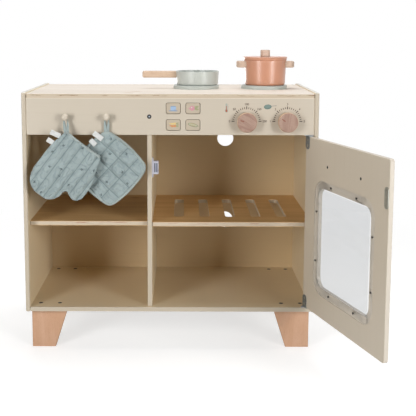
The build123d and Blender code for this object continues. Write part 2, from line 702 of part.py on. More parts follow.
# Oven door, drawn closed
door_outline = Pos(DOOR_X, (DOOR_UNDER + DOOR_TOP) / 2) * RectangleRounded(
    DOOR_WIDTH, DOOR_HEIGHT, DOOR_CORNER_RADIUS
)
door = standing(door_outline, DOOR_FRONT, BOARD)
door = fillet(
    door.faces().sort_by(Axis.Y)[0].edges() + door.faces().sort_by(Axis.Y)[-1].edges(), EDGE_ROUND
)
window_outline = Pos(DOOR_X, WINDOW_Z) * RectangleRounded(WINDOW_WIDTH, WINDOW_HEIGHT, WINDOW_RADIUS)
pane_width = WINDOW_WIDTH + 2 * PANE_LAP
pane_height = WINDOW_HEIGHT + 2 * PANE_LAP
pane_radius = WINDOW_RADIUS + PANE_LAP
rebate_outline = Pos(DOOR_X, WINDOW_Z) * RectangleRounded(
    pane_width + 2 * PANE_FIT, pane_height + 2 * PANE_FIT, pane_radius + PANE_FIT
)
pane_front = DOOR_BACK - PANE_THICKNESS
pane_outline = Pos(DOOR_X, WINDOW_Z) * RectangleRounded(pane_width, pane_height, pane_radius)
door = door - standing(window_outline, DOOR_FRONT, BOARD)
door = door - standing(rebate_outline, pane_front, PANE_THICKNESS)
pane = standing(pane_outline, pane_front, PANE_THICKNESS)
screw_x = WINDOW_WIDTH / 2 + PANE_SCREW_LAP
screw_z = WINDOW_HEIGHT / 2 + PANE_SCREW_LAP
half_spread = PANE_SCREW_SPREAD / 2
pane_spots = [(x, z) for x in (-half_spread, half_spread) for z in (-screw_z, screw_z)]
pane_spots += [(x, z) for x in (-screw_x, screw_x) for z in (-half_spread, half_spread)]
pane_places = [Pos(DOOR_X + x, DOOR_BACK, WINDOW_Z + z) * TO_FRONT for x, z in pane_spots]
window_screws, (door, pane) = fasten(
    pane_places, PANE_SCREW_HEAD, PANE_SCREW_SHANK, PANE_SCREW_LENGTH, (door, pane)
)

# Corner hinges: a plate with a pin on the cabinet, and a bent leaf on the door
door_screws = []
leaf_right = DOOR_HINGE_EDGE - HINGE_LEAF_INSET
leaf_left = leaf_right - HINGE_LEAF_WIDTH
leaf_x = (leaf_left + leaf_right) / 2
foot_front = DOOR_BACK - HINGE_FOOT_DEPTH
pivot_plate_middle = (foot_front + DOOR_BACK) / 2
pin_radius = HINGE_PIN_DIAMETER / 2
for side, door_end, cabinet_face, into in (
    ("upper", DOOR_TOP, FASCIA_UNDER, -1),
    ("lower", DOOR_UNDER, FLOOR_TOP, 1),
):
    # "into" points from the cabinet's face into the door
    plate_levels = sorted((cabinet_face, cabinet_face + into * HINGE_PLATE))
    plate = block(
        leaf_left, INSIDE_X, foot_front, DOOR_BACK, plate_levels[0], plate_levels[1]
    )
    pin_levels = sorted((cabinet_face, cabinet_face + into * HINGE_PIN_LENGTH))
    pin = rod_z(pin_radius, pin_levels[0], pin_levels[1], PIVOT_X, PIVOT_Y)
    plate_face = cabinet_face + into * HINGE_PLATE
    plate_place = Pos(leaf_left + SMALL_SCREW_HEAD / 2, pivot_plate_middle, plate_face)
    if into < 0:
        plate_place = plate_place * UPWARDS
    carrier = front_panel if into < 0 else bottom_panel
    plate_screw, (plate, carrier) = fasten(
        [plate_place], HINGE_SCREW_HEAD, HINGE_SCREW_SHANK, SMALL_SCREW_LENGTH, (plate, carrier)
    )
    if into < 0:
        front_panel = carrier
    else:
        bottom_panel = carrier
    fitting_screws.extend(plate_screw.solids())
    parts[side + "_hinge_pivot"] = plate + pin
    # The door's leaf: a foot on the end of the door and an upright tongue on its inner face
    foot_levels = sorted((door_end, door_end - into * HINGE_PLATE))
    foot_plate = block(
        leaf_left, leaf_right, foot_front, DOOR_BACK + HINGE_PLATE, foot_levels[0], foot_levels[1]
    )
    tongue_far = door_end + into * HINGE_LEAF_HEIGHT
    tongue_levels = sorted((door_end, tongue_far))
    tongue = block(
        leaf_left, leaf_right, DOOR_BACK, DOOR_BACK + HINGE_PLATE, tongue_levels[0], tongue_levels[1]
    )
    far_corners = [
        edge for edge in tongue.edges().filter_by(Axis.Y) if abs(edge.center().Z - tongue_far) < 0.1
    ]
    tongue = fillet(far_corners, HINGE_LEAF_RADIUS)
    bore_levels = sorted((cabinet_face, cabinet_face + into * HINGE_BORE_DEPTH))
    bore = rod_z(pin_radius + PIN_CLEARANCE, bore_levels[0], bore_levels[1], PIVOT_X, PIVOT_Y)
    door = door - bore
    leaf_screw_z = door_end + into * (HINGE_LEAF_HEIGHT / 2 - HINGE_SCREW_PITCH / 2)
    leaf_places = [
        Pos(leaf_x, DOOR_BACK + HINGE_PLATE, leaf_screw_z + into * step) * TO_FRONT
        for step in (0, HINGE_SCREW_PITCH)
    ]
    leaf = foot_plate + tongue - bore
    screws, (leaf, door) = fasten(
        leaf_places, SMALL_SCREW_HEAD, SMALL_SCREW_SHANK, SMALL_SCREW_LENGTH, (leaf, door)
    )
    door_screws.extend(screws.solids())
    parts[side + "_hinge_leaf"] = swing_open(leaf)

# Strike plate at the free edge of the door
strike_x = DOOR_FREE_EDGE + EDGE_ROUND / 2 + STRIKE_WIDTH / 2
strike_outline = Pos(strike_x, CATCH_Z) * SlotOverall(STRIKE_HEIGHT, STRIKE_WIDTH, rotation=90)
strike = standing(strike_outline, DOOR_BACK, STRIKE_THICKNESS)
strike_places = [
    Pos(strike_x, DOOR_BACK + STRIKE_THICKNESS, CATCH_Z + shift) * TO_FRONT
    for shift in (-STRIKE_SCREW_PITCH / 2, STRIKE_SCREW_PITCH / 2)
]
strike_screws, (strike, door) = fasten(
    strike_places, SMALL_SCREW_HEAD, SMALL_SCREW_SHANK, SMALL_SCREW_LENGTH, (strike, door)
)
parts["strike_plate"] = swing_open(strike)
door_screws.extend(strike_screws.solids())

# Magnetic catch on the divider
catch_front = DOOR_BACK + STRIKE_THICKNESS + CATCH_GAP + POLE_PROUD
catch_base = block(
    DIVIDER_RIGHT,
    DIVIDER_RIGHT + CATCH_BASE_THICKNESS,
    catch_front,
    catch_front + CATCH_DEPTH,
    CATCH_Z - CATCH_BASE_HEIGHT / 2,
    CATCH_Z + CATCH_BASE_HEIGHT / 2,
)
catch_body = block(
    DIVIDER_RIGHT,
    DIVIDER_RIGHT + CATCH_REACH,
    catch_front,
    catch_front + CATCH_DEPTH,
    CATCH_Z - CATCH_HEIGHT / 2,
    CATCH_Z + CATCH_HEIGHT / 2,
)
catch_body = fillet(catch_body.edges().filter_by(Axis.Y).group_by(Axis.X)[-1], CATCH_CORNER_RADIUS)
catch = catch_base + catch_body
magnet_x = DIVIDER_RIGHT + CATCH_BASE_THICKNESS + (CATCH_REACH - CATCH_BASE_THICKNESS) / 2
magnet_front = catch_front
magnet = block(
    magnet_x - MAGNET_THICKNESS / 2,
    magnet_x + MAGNET_THICKNESS / 2,
    magnet_front,
    magnet_front + MAGNET_DEPTH,
    CATCH_Z - MAGNET_HEIGHT / 2,
    CATCH_Z + MAGNET_HEIGHT / 2,
)
poles = []
for side in (-1, 1):
    pole_x = magnet_x + side * (MAGNET_THICKNESS / 2 + POLE_THICKNESS / 2)
    poles.append(
        block(
            pole_x - POLE_THICKNESS / 2,
            pole_x + POLE_THICKNESS / 2,
            magnet_front - POLE_PROUD,
            magnet_front + MAGNET_DEPTH,
            CATCH_Z - MAGNET_HEIGHT / 2,
            CATCH_Z + MAGNET_HEIGHT / 2,
        )
    )
for insert in (magnet, *poles):
    catch = catch - insert
tab_offset = (CATCH_HEIGHT + CATCH_BASE_HEIGHT) / 4
catch_places = [
    Pos(DIVIDER_RIGHT + CATCH_BASE_THICKNESS, catch_front + CATCH_DEPTH / 2, CATCH_Z + shift) * TO_LEFT
    for shift in (-tab_offset, tab_offset)
]
catch_screws, (catch, divider) = fasten(
    catch_places, CATCH_SCREW_HEAD, CATCH_SCREW_SHANK, SMALL_SCREW_LENGTH, (catch, divider)
)
parts["catch_housing"] = catch
parts["catch_magnet"] = Compound([magnet, *poles])
parts["cabinet_fitting_screws"] = Compound(fitting_screws + list(catch_screws.solids()))

# Door handle, one milled piece of beech with two feet
handle_z = DOOR_TOP - HANDLE_DROP
bar_front = DOOR_FRONT - HANDLE_REACH
bar = block(
    DOOR_X - HANDLE_LENGTH / 2,
    DOOR_X + HANDLE_LENGTH / 2,
    bar_front,
    bar_front + HANDLE_BAR,
    handle_z - HANDLE_WIDTH / 2,
    handle_z + HANDLE_WIDTH / 2,
)
bar = fillet(bar.edges(), HANDLE_ROUND)
handle = bar
handle_places = []
for shift in (-HANDLE_SCREW_PITCH / 2, HANDLE_SCREW_PITCH / 2):
    foot = block(
        DOOR_X + shift - HANDLE_FOOT / 2,
        DOOR_X + shift + HANDLE_FOOT / 2,
        bar_front + HANDLE_ROUND,
        DOOR_FRONT,
        handle_z - HANDLE_WIDTH / 2 + HANDLE_FOOT_STEP,
        handle_z + HANDLE_WIDTH / 2 - HANDLE_FOOT_STEP,
    )
    foot = fillet(foot.edges().filter_by(Axis.Y), HANDLE_ROUND)
    handle = handle + foot
    handle_places.append(Pos(DOOR_X + shift, DOOR_BACK, handle_z) * TO_FRONT)
handle_screws, (door, handle) = fasten(
    handle_places, HANDLE_SCREW_HEAD, HANDLE_SCREW_SHANK, HANDLE_SCREW_LENGTH, (door, handle)
)
parts["oven_door"] = swing_open(door)
parts["door_window"] = swing_open(pane)
parts["window_screws"] = swing_open(window_screws)
parts["door_fitting_screws"] = swing_open(Compound(door_screws))
parts["door_handle"] = swing_open(handle)
parts["handle_screws"] = swing_open(handle_screws)

# Cabinet boards are whole now
parts["worktop"] = worktop
parts["bottom_panel"] = bottom_panel
parts["front_panel"] = front_panel
parts["centre_divider"] = divider
parts["left_shelf"] = left_shelf
parts["oven_shelf"] = oven_shelf
parts["back_panel"] = back_panel

# Pan on the left hob
pan_place = Pos(PAN_X, HOB_Y, HOB_TOP)
pan_body, pan_solid = vessel(PAN_DIAMETER, PAN_FOOT_DIAMETER, PAN_HEIGHT, PAN_WALL, PAN_ROUND)
grip_far = -PAN_DIAMETER / 2 - PAN_HANDLE_LENGTH
grip_z = PAN_HEIGHT - PAN_HANDLE_DROP
grip = block(
    grip_far,
    -PAN_DIAMETER / 4,
    -PAN_HANDLE_THICKNESS / 2,
    PAN_HANDLE_THICKNESS / 2,
    grip_z - PAN_HANDLE_WIDTH / 2,
    grip_z + PAN_HANDLE_WIDTH / 2,
)
grip = fillet(grip.edges(), PAN_HANDLE_ROUND)
above_rim = block(-PAN_DIAMETER, PAN_DIAMETER, -PAN_DIAMETER, PAN_DIAMETER, PAN_HEIGHT, 2 * PAN_HEIGHT)
inside_pan = above_rim & rod_z(PAN_DIAMETER / 2, 0, 2 * PAN_HEIGHT, 0, 0)
parts["pan_body"] = pan_place * pan_body
parts["pan_handle"] = pan_place * (grip - pan_solid - inside_pan)

# Pot and its two ears on the right hob
pot_place = Pos(POT_X, HOB_Y, HOB_TOP)
pot_body, pot_solid = vessel(POT_DIAMETER, POT_FOOT_DIAMETER, POT_HEIGHT, POT_WALL, POT_ROUND)
ear_z = POT_HEIGHT - EAR_DROP
ears = []
for side in (-1, 1):
    ends = sorted((side * POT_DIAMETER / 4, side * (POT_DIAMETER / 2 + EAR_REACH)))
    ear_under = ear_z - EAR_THICKNESS / 2
    ear = block(ends[0], ends[1], -EAR_WIDTH / 2, EAR_WIDTH / 2, ear_under, ear_under + EAR_THICKNESS)
    outer_corners = ear.edges().filter_by(Axis.Z).sort_by(lambda edge: side * edge.center().X)[-2:]
    ear = fillet(outer_corners, EAR_CORNER_RADIUS)
    rims = ear.faces().sort_by(Axis.Z)[-1].edges() + ear.faces().sort_by(Axis.Z)[0].edges()
    ear = fillet(rims, EAR_ROUND)
    ears.append((ear - pot_solid).solids().sort_by(lambda piece: side * piece.center().X)[-1])
parts["pot_body"] = pot_place * pot_body
parts["pot_ears"] = pot_place * Compound(ears)

# Lid with a plug that sits inside the rim, and its turned knob
lid_place = pot_place * Pos(0, 0, POT_HEIGHT)
lid = Pos(0, 0, LID_THICKNESS / 2) * Cone(LID_UNDER_DIAMETER / 2, LID_DIAMETER / 2, LID_THICKNESS)
lid = fillet(lid.edges().group_by(Axis.Z)[-1], LID_ROUND)
lid = fillet(lid.edges().group_by(Axis.Z)[0], RIM_ROUND)
plug_radius = POT_DIAMETER / 2 - POT_WALL - LID_PLUG_CLEARANCE
lid = lid + rod_z(plug_radius, -LID_PLUG_DEPTH, 0, 0, 0)
grip = rod_z(LID_KNOB_DIAMETER / 2, 0, LID_KNOB_HEIGHT, 0, 0)
grip = fillet(grip.edges().filter_by(GeomType.CIRCLE), LID_KNOB_ROUND)
spigot = rod_z(LID_KNOB_SPIGOT / 2, LID_THICKNESS - LID_KNOB_BITE, LID_THICKNESS, 0, 0)
lid_knob = Pos(0, 0, LID_THICKNESS) * grip + spigot
parts["pot_lid"] = lid_place * (lid - spigot)
parts["lid_knob"] = lid_place * lid_knob


def strand(x, y, z, foot_x, foot_y, foot_z):
    """Straight run of tape down from the height z to foot_z, which may lean any way."""
    def section(centre_x, centre_y, height):
        return Pos(centre_x, centre_y, height) * Rectangle(LOOP_TAPE, LOOP_WIDTH)
    return loft([section(foot_x, foot_y, foot_z), section(x, y, z)], ruled=True)


def loop(x, foot_x, foot_y, foot_z):
    """Tape that runs up from the piece it holds, over a peg's stem and down again."""
    y = FASCIA_FRONT - LOOP_FASCIA_GAP - LOOP_WIDTH / 2
    inner_radius = PEG_STEM_DIAMETER / 2 + LOOP_CLEARANCE
    middle_radius = inner_radius + LOOP_TAPE / 2
    ring = Circle(inner_radius + LOOP_TAPE) - Circle(inner_radius)
    upper_half = Pos(0, middle_radius) * Rectangle(4 * middle_radius, 2 * middle_radius)
    tape = standing(Pos(x, FASCIA_MIDDLE) * (ring & upper_half), y - LOOP_WIDTH / 2, LOOP_WIDTH)
    for side in (-1, 1):
        top_x = x + side * middle_radius
        tape = tape + strand(top_x, y, FASCIA_MIDDLE, foot_x + side * LOOP_FOOT_SPREAD / 2, foot_y, foot_z)
    return tape


# Oven mitt, drawn flat with its cuff along X and its hand along -Y, then stood up and tilted
flare = (-MITT_FLARE, -MITT_FLARE_DROP)
shoulder = (-MITT_FLARE, -MITT_SHOULDER_DROP)
heel = (MITT_HEEL_X, -MITT_HEEL_DROP)
tip = (MITT_TIP_X, -MITT_LENGTH)
finger = (MITT_FINGER_X, -MITT_FINGER_DROP)
inner = (MITT_INNER_X, -MITT_INNER_DROP)
crotch = (MITT_CROTCH_X, -MITT_CROTCH_DROP)
thumb_tip = (THUMB_TIP_X, -THUMB_TIP_DROP)
thumb_side = (THUMB_SIDE_X, -THUMB_SIDE_DROP)
thumb_root = (THUMB_ROOT_X, -THUMB_ROOT_DROP)
cuff_end = (MITT_CUFF_WIDTH, 0)
mitt_edge = [
    Polyline((0, 0), flare, shoulder),
    ThreePointArc(shoulder, heel, tip),
    ThreePointArc(tip, finger, inner),
    Line(inner, crotch),
    ThreePointArc(crotch, thumb_tip, thumb_side),
    Polyline(thumb_side, thumb_root, cuff_end, (0, 0)),
]
mitt_outline = make_face(mitt_edge)
mitt_flat = pillow(mitt_outline, MITT_THICKNESS)
pocket_outline = offset(mitt_outline, -MITT_SEAM)
cuff_middle = MITT_CUFF_WIDTH / 2
mouth = Pos(cuff_middle, 0) * Rectangle(MITT_CUFF_WIDTH - 2 * MITT_SEAM, 4 * MITT_SEAM)
pocket_height = MITT_THICKNESS - 2 * MITT_WALL
pocket = Pos(0, 0, -pocket_height / 2) * extrude(pocket_outline + mouth, pocket_height)
mitt_channels = [
    Pos(cuff_middle + i * MITT_QUILT_PITCH, -MITT_LENGTH / 2) * Rot(Z=90)
    for i in range(-(MITT_QUILT_COUNT // 2), MITT_QUILT_COUNT // 2 + 1)
]
mitt_flat = quilt(mitt_flat - pocket, mitt_channels, 2 * MITT_LENGTH, MITT_THICKNESS)
mitt_y = FASCIA_FRONT - MITT_FASCIA_GAP - MITT_THICKNESS / 2
mitt_top_x = PEG_X[0] + MITT_SHIFT
mitt_top_z = FASCIA_MIDDLE - MITT_DROP
mitt = Pos(mitt_top_x, mitt_y, mitt_top_z) * Rot(Y=MITT_TILT) * Rot(X=90) * mitt_flat
mitt_foot_z = mitt_top_z - LOOP_SEW_IN
mitt_loop = loop(PEG_X[0], mitt_top_x + LOOP_SEW_IN / 2, mitt_y, mitt_foot_z)

# Pot holder: a rounded square hung by one corner behind the mitt
holder_outline = RectangleRounded(HOLDER_SIDE, HOLDER_SIDE, HOLDER_CORNER_RADIUS)
holder_flat = pillow(holder_outline, HOLDER_THICKNESS)
holder_channels = []
for i in range(-(HOLDER_QUILT_COUNT // 2), HOLDER_QUILT_COUNT // 2 + 1):
    holder_channels.append(Pos(0, i * HOLDER_QUILT_PITCH))
    holder_channels.append(Pos(i * HOLDER_QUILT_PITCH, 0) * Rot(Z=90))
holder_flat = quilt(holder_flat, holder_channels, 2 * HOLDER_SIDE, HOLDER_THICKNESS)
holder_x = PEG_X[1] + HOLDER_SHIFT
holder_y = FASCIA_FRONT - HOLDER_FASCIA_GAP - HOLDER_THICKNESS / 2
holder_z = FASCIA_MIDDLE - HOLDER_DROP
holder = Pos(holder_x, holder_y, holder_z) * Rot(Y=HOLDER_TILT) * Rot(X=90) * holder_flat
holder_reach = HOLDER_SIDE / 2 * (sin(radians(HOLDER_TILT)) + cos(radians(HOLDER_TILT)))
corner_trim = HOLDER_CORNER_RADIUS * (2**0.5 - 1)
holder_top = holder_z + holder_reach - corner_trim
holder_loop = loop(PEG_X[1], holder_x, holder_y, holder_top - LOOP_SEW_IN)
parts["oven_mitt"] = mitt
parts["mitt_loop"] = mitt_loop - mitt
parts["pot_holder"] = holder
parts["holder_loop"] = holder_loop - holder

# The origin goes on the floor under the centre of the whole footprint
whole = Compound([solid for piece in parts.values() for solid in piece.solids()]).bounding_box()
ORIGIN_SHIFT_X = -(whole.min.X + whole.max.X) / 2
ORIGIN_SHIFT_Y = -(whole.min.Y + whole.max.Y) / 2

os.makedirs("parts", exist_ok=True)
for name, piece in parts.items():
    placed = Pos(ORIGIN_SHIFT_X, ORIGIN_SHIFT_Y, 0) * piece
    solids = placed.solids()
    export_step(solids[0] if len(solids) == 1 else Compound(solids), f"parts/{name}.step")
print(len(parts), "parts, origin shift", round(ORIGIN_SHIFT_X, 3), round(ORIGIN_SHIFT_Y, 3))
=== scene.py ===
"""Looks of the wooden toy kitchen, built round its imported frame."""

import json
import logging
import math
from collections import Counter
from dataclasses import dataclass, field
from enum import Enum
from functools import partial
from itertools import accumulate
from typing import Callable, Optional, Sequence, Union

import bmesh
import bpy
from mathutils import Matrix, Vector, noise

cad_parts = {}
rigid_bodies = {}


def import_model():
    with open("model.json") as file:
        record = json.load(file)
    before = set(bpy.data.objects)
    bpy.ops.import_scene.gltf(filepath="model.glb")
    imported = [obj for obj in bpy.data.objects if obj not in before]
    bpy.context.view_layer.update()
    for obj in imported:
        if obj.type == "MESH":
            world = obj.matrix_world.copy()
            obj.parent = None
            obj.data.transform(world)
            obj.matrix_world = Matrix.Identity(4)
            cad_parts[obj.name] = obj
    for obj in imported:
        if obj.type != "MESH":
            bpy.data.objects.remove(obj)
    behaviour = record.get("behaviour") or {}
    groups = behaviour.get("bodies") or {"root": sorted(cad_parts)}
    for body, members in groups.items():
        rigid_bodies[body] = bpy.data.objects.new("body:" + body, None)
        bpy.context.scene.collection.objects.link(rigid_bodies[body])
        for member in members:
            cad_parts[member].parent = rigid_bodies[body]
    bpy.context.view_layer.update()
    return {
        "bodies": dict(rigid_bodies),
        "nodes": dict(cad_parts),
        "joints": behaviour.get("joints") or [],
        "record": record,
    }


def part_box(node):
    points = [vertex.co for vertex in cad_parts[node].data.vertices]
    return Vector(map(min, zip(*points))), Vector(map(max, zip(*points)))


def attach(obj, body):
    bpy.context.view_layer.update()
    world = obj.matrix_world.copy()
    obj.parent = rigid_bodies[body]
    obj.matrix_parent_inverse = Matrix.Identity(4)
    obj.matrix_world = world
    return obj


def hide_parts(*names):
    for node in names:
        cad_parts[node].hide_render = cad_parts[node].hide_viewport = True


LOG = logging.getLogger("toy_kitchen")
MM = 0.001
DRAWING_ORIGIN = Vector((0.0, 0.0, 0.0))
HALF_WIDTH = 300.0
FASCIA_FRONT = 12.0
IMAGE_SIDE = 416
CLOTH_UNIT = 100.0
FAR = 10.0
PLIES = 7
WHITE = (1.0, 1.0, 1.0, 1.0)
Colour = tuple[float, float, float, float]
Nodes = dict[str, bpy.types.Object]


def place(x: float, y: float, z: float) -> Vector:
    """Gives a point of the cabinet's drawing, in millimetres, as a point of the row, in metres."""
    return (Vector((x, y, z)) + DRAWING_ORIGIN) * MM


def find_origin() -> None:
    """Reads where the cabinet's drawing has its origin: midway, on the floor, a little before the fascia."""
    side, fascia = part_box("left_side_panel")[0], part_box("front_panel")[0]
    DRAWING_ORIGIN.x, DRAWING_ORIGIN.y = side.x / MM + HALF_WIDTH, fascia.y / MM - FASCIA_FRONT


def written(code: str) -> Colour:
    """Gives the linear colour, with its alpha, of one written as #RRGGBB."""
    parts = [int(code[i : i + 2], 16) / 255 for i in (1, 3, 5)]
    linear = [p / 12.92 if p <= 0.04045 else ((p + 0.055) / 1.055) ** 2.4 for p in parts]
    return (linear[0], linear[1], linear[2], 1.0)


def smooth_step(low: float, high: float, value: float) -> float:
    """Eases a value from 0 at low to 1 at high."""
    share = min(1.0, max(0.0, (value - low) / (high - low)))
    return share * share * (3 - 2 * share)


class Axis(Enum):
    """The directions of the row frame."""

    X = 0
    Y = 1
    Z = 2


class Signal:
    """A socket of a shader's node, so that shader maths reads as plain arithmetic."""

    def __init__(self, shader: "Shader", socket: bpy.types.NodeSocket) -> None:
        """Keeps the socket and the shader that it belongs to."""
        self.shader = shader
        self.socket = socket

    def __add__(self, other: "Feed") -> "Signal":
        """Adds."""
        return self.shader.math("ADD", self, other)

    __radd__ = __add__

    def __sub__(self, other: "Feed") -> "Signal":
        """Takes the other away."""
        return self.shader.math("SUBTRACT", self, other)

    def __rsub__(self, other: "Feed") -> "Signal":
        """Is taken away from the other."""
        return self.shader.math("SUBTRACT", other, self)

    def __mul__(self, other: "Feed") -> "Signal":
        """Multiplies."""
        return self.shader.math("MULTIPLY", self, other)

    __rmul__ = __mul__

    def __truediv__(self, other: "Feed") -> "Signal":
        """Divides by the other."""
        return self.shader.math("DIVIDE", self, other)

    def __abs__(self) -> "Signal":
        """Gives the value without its sign."""
        return self.shader.math("ABSOLUTE", self)

    def lowest(self, other: "Feed") -> "Signal":
        """Gives the lower of the two."""
        return self.shader.math("MINIMUM", self, other)

    def highest(self, other: "Feed") -> "Signal":
        """Gives the higher of the two."""
        return self.shader.math("MAXIMUM", self, other)

    def wave(self) -> "Signal":
        """Gives the sine, brought to 0..1."""
        return self.shader.math("SINE", self) * 0.5 + 0.5

    def part(self) -> "Signal":
        """Gives what follows the point."""
        return self.shader.math("FRACT", self)

    def over(self, low: float, high: float) -> "Signal":
        """Rises smoothly from 0 at low to 1 at high."""
        feeds = {"Value": self, "From Min": low, "From Max": high}
        return self.shader.made("ShaderNodeMapRange", {"interpolation_type": "SMOOTHSTEP"}, feeds)

    def under(self, low: float, high: float) -> "Signal":
        """Falls smoothly from 1 at low to 0 at high."""
        return 1 - self.over(low, high)


Feed = Union[Signal, float, str, Sequence[float]]


class Shader:
    """The nodes that one finish, or the surround, needs."""

    def __init__(self, name: str, world: bool = False) -> None:
        """Starts an empty material or world."""
        self.owner = (bpy.data.worlds if world else bpy.data.materials).new(name)
        self.owner.use_nodes = True
        self.tree = self.owner.node_tree
        self.tree.nodes.clear()
        self.output = self.tree.nodes.new("ShaderNodeOutputWorld" if world else "ShaderNodeOutputMaterial")

    def node(
        self, kind: str, settings: Optional[dict] = None, feeds: Optional[dict] = None
    ) -> bpy.types.Node:
        """Adds a node.

        Args:
            kind: the node's type.
            settings: its own settings.
            feeds: the values or signals of its sockets, by socket name or number.

        Returns:
            The node.
        """
        made = self.tree.nodes.new(kind)
        for key, value in (settings or {}).items():
            setattr(made, key, value)
        for key, value in (feeds or {}).items():
            if isinstance(value, Signal):
                self.tree.links.new(value.socket, made.inputs[key])
            else:
                made.inputs[key].default_value = written(value) if isinstance(value, str) else value
        return made

    def made(
        self, kind: str, settings: Optional[dict] = None, feeds: Optional[dict] = None,
        output: Union[int, str] = 0,
    ) -> Signal:
        """Adds a node and gives one of its outputs."""
        return Signal(self, self.node(kind, settings, feeds).outputs[output])

    def math(self, operation: str, *values: Feed) -> Signal:
        """Adds a Math node on the values."""
        return self.made("ShaderNodeMath", {"operation": operation}, dict(enumerate(values)))

    def mix(self, factor: Feed, first: Feed, second: Feed) -> Signal:
        """Mixes two colours by the share of the second."""
        return self.made("ShaderNodeMix", {"data_type": "RGBA"}, {0: factor, 6: first, 7: second}, 2)

    def coats(self, ground: Feed, *coats: tuple[Feed, Feed]) -> Feed:
        """Lays colours over a ground in order, each by its own share."""
        for share, colour in coats:
            ground = self.mix(share, ground, colour)
        return ground

    def bands(self, value: Signal, stops: Sequence[tuple[float, str]]) -> Signal:
        """Turns a value into flat bands of colour."""
        made = self.node("ShaderNodeValToRGB", None, {"Fac": value})
        ramp = made.color_ramp
        while len(ramp.elements) < len(stops):
            ramp.elements.new(1.0)
        for element, (position, colour) in zip(ramp.elements, stops):
            element.position, element.color = position, written(colour)
        ramp.interpolation = "CONSTANT"
        return Signal(self, made.outputs["Color"])

    def at(self) -> Signal:
        """Gives the point on the piece, in metres."""
        return self.made("ShaderNodeTexCoord", output="Object")

    def cloth_at(self) -> Signal:
        """Gives the point on the cloth as it was cut, in tenths of a metre."""
        return self.made("ShaderNodeTexCoord", output="UV")

    def mapped(
        self, at: Signal, scale: Sequence[float] = (1, 1, 1), turn: Sequence[float] = (0, 0, 0),
        move: Sequence[float] = (0, 0, 0),
    ) -> Signal:
        """Scales, turns and then moves a vector."""
        feeds = {"Vector": at, "Scale": scale, "Rotation": turn, "Location": move}
        return self.made("ShaderNodeMapping", None, feeds)

    def along(self, at: Signal, grain: Axis, long: float, cross: float) -> Signal:
        """Stretches a pattern along the grain."""
        scale = [cross, cross, cross]
        scale[grain.value] = long
        return self.mapped(at, scale=scale)

    def parts(self, at: Signal) -> list[Signal]:
        """Splits a vector into its three values."""
        split = self.node("ShaderNodeSeparateXYZ", None, {0: at})
        return [Signal(self, output) for output in split.outputs]

    def length(self, at: Signal) -> Signal:
        """Gives a vector's length."""
        return self.made("ShaderNodeVectorMath", {"operation": "LENGTH"}, {0: at}, "Value")

    def clouds(
        self, at: Signal, scale: float, detail: float = 3.0, rough: float = 0.5, bend: float = 0.0
    ) -> Signal:
        """Gives soft random clouds of 0..1."""
        feeds = {"Vector": at, "Scale": scale, "Detail": detail, "Roughness": rough, "Distortion": bend}
        return self.made("ShaderNodeTexNoise", None, feeds)

    def cells(
        self, at: Signal, scale: float = 1.0, loose: float = 1.0, flat: bool = False
    ) -> bpy.types.Node:
        """Adds a cell pattern and gives its node."""
        settings = {"voronoi_dimensions": "2D" if flat else "3D"}
        feeds = {"Vector": at, "Scale": scale, "Randomness": loose}
        return self.node("ShaderNodeTexVoronoi", settings, feeds)

    def bump(self, height: Signal, depth: float, strength: float = 1.0) -> Signal:
        """Turns a height of 0..1 into a normal, for a relief so many metres deep."""
        return self.made("ShaderNodeBump", None, {"Height": height, "Distance": depth, "Strength": strength})

    def close(self, light: Signal) -> None:
        """Links a shader to the output."""
        self.tree.links.new(light.socket, self.output.inputs["Surface"])

    def surface(
        self, colour: Feed, rough: Feed, normal: Optional[Signal] = None, **own: Feed
    ) -> bpy.types.Material:
        """Closes the material with a surface.

        Args:
            colour: the base colour.
            rough: the roughness.
            normal: the relief's normal.
            own: other sockets of the surface, with _ for a space in their names.

        Returns:
            The finished material.
        """
        feeds: dict = {"Base Color": colour, "Roughness": rough}
        if normal is not None:
            feeds["Normal"] = normal
        feeds.update({key.replace("_", " "): value for key, value in own.items()})
        self.close(self.made("ShaderNodeBsdfPrincipled", None, feeds))
        return self.owner


@dataclass(frozen=True)
class Board:
    """Where a board lies: its faces along its thin way, its grain, and how it is turned."""

    low: float
    high: float
    thin: Axis
    grain: Axis
    turn: float = 0.0
    pivot: tuple[float, float] = (0.0, 0.0)
    front: float = 0.0
    top: float = FAR
    ends: tuple[float, float] = (-FAR, FAR)

    @classmethod
    def of(cls, node: str, thin: Axis, grain: Axis) -> "Board":
        """Reads a square board's faces from its box in the frame."""
        low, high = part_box(node)
        front = -FAR if thin is Axis.Y else low.y
        top = FAR if thin is Axis.Z else high.z
        return cls(low[thin.value], high[thin.value], thin, grain, front=front, top=top, ends=(low.x, high.x))

    def own_at(self, shader: Shader) -> Signal:
        """Gives the point in the board's own directions."""
        at = shader.at()
        if self.turn == 0.0:
            return at
        x, y = self.pivot
        cos, sin = math.cos(self.turn), math.sin(self.turn)
        move = (-(cos * x - sin * y), -(sin * x + cos * y), 0.0)
        return shader.mapped(at, turn=(0.0, 0.0, self.turn), move=move)

    def clouds(
        self, at: Signal, long: float, cross: float, detail: float = 3.0, rough: float = 0.5,
        bend: float = 0.0,
    ) -> Signal:
        """Gives clouds drawn out along the grain."""
        return at.shader.clouds(at.shader.along(at, self.grain, long, cross), 1.0, detail, rough, bend)

    def edge(self, at: Signal) -> tuple[Signal, Signal]:
        """Finds the board's edges.

        Args:
            at: the point in the board's own directions.

        Returns:
            A mask that is 1 on the edges, and the place through the thickness as 0..1.
        """
        through = at.shader.parts(at)[self.thin.value]
        depth = (through - self.low).lowest(self.high - through)
        share = (through - self.low) / (self.high - self.low)
        return depth.over(0.2 * MM, 0.9 * MM), share


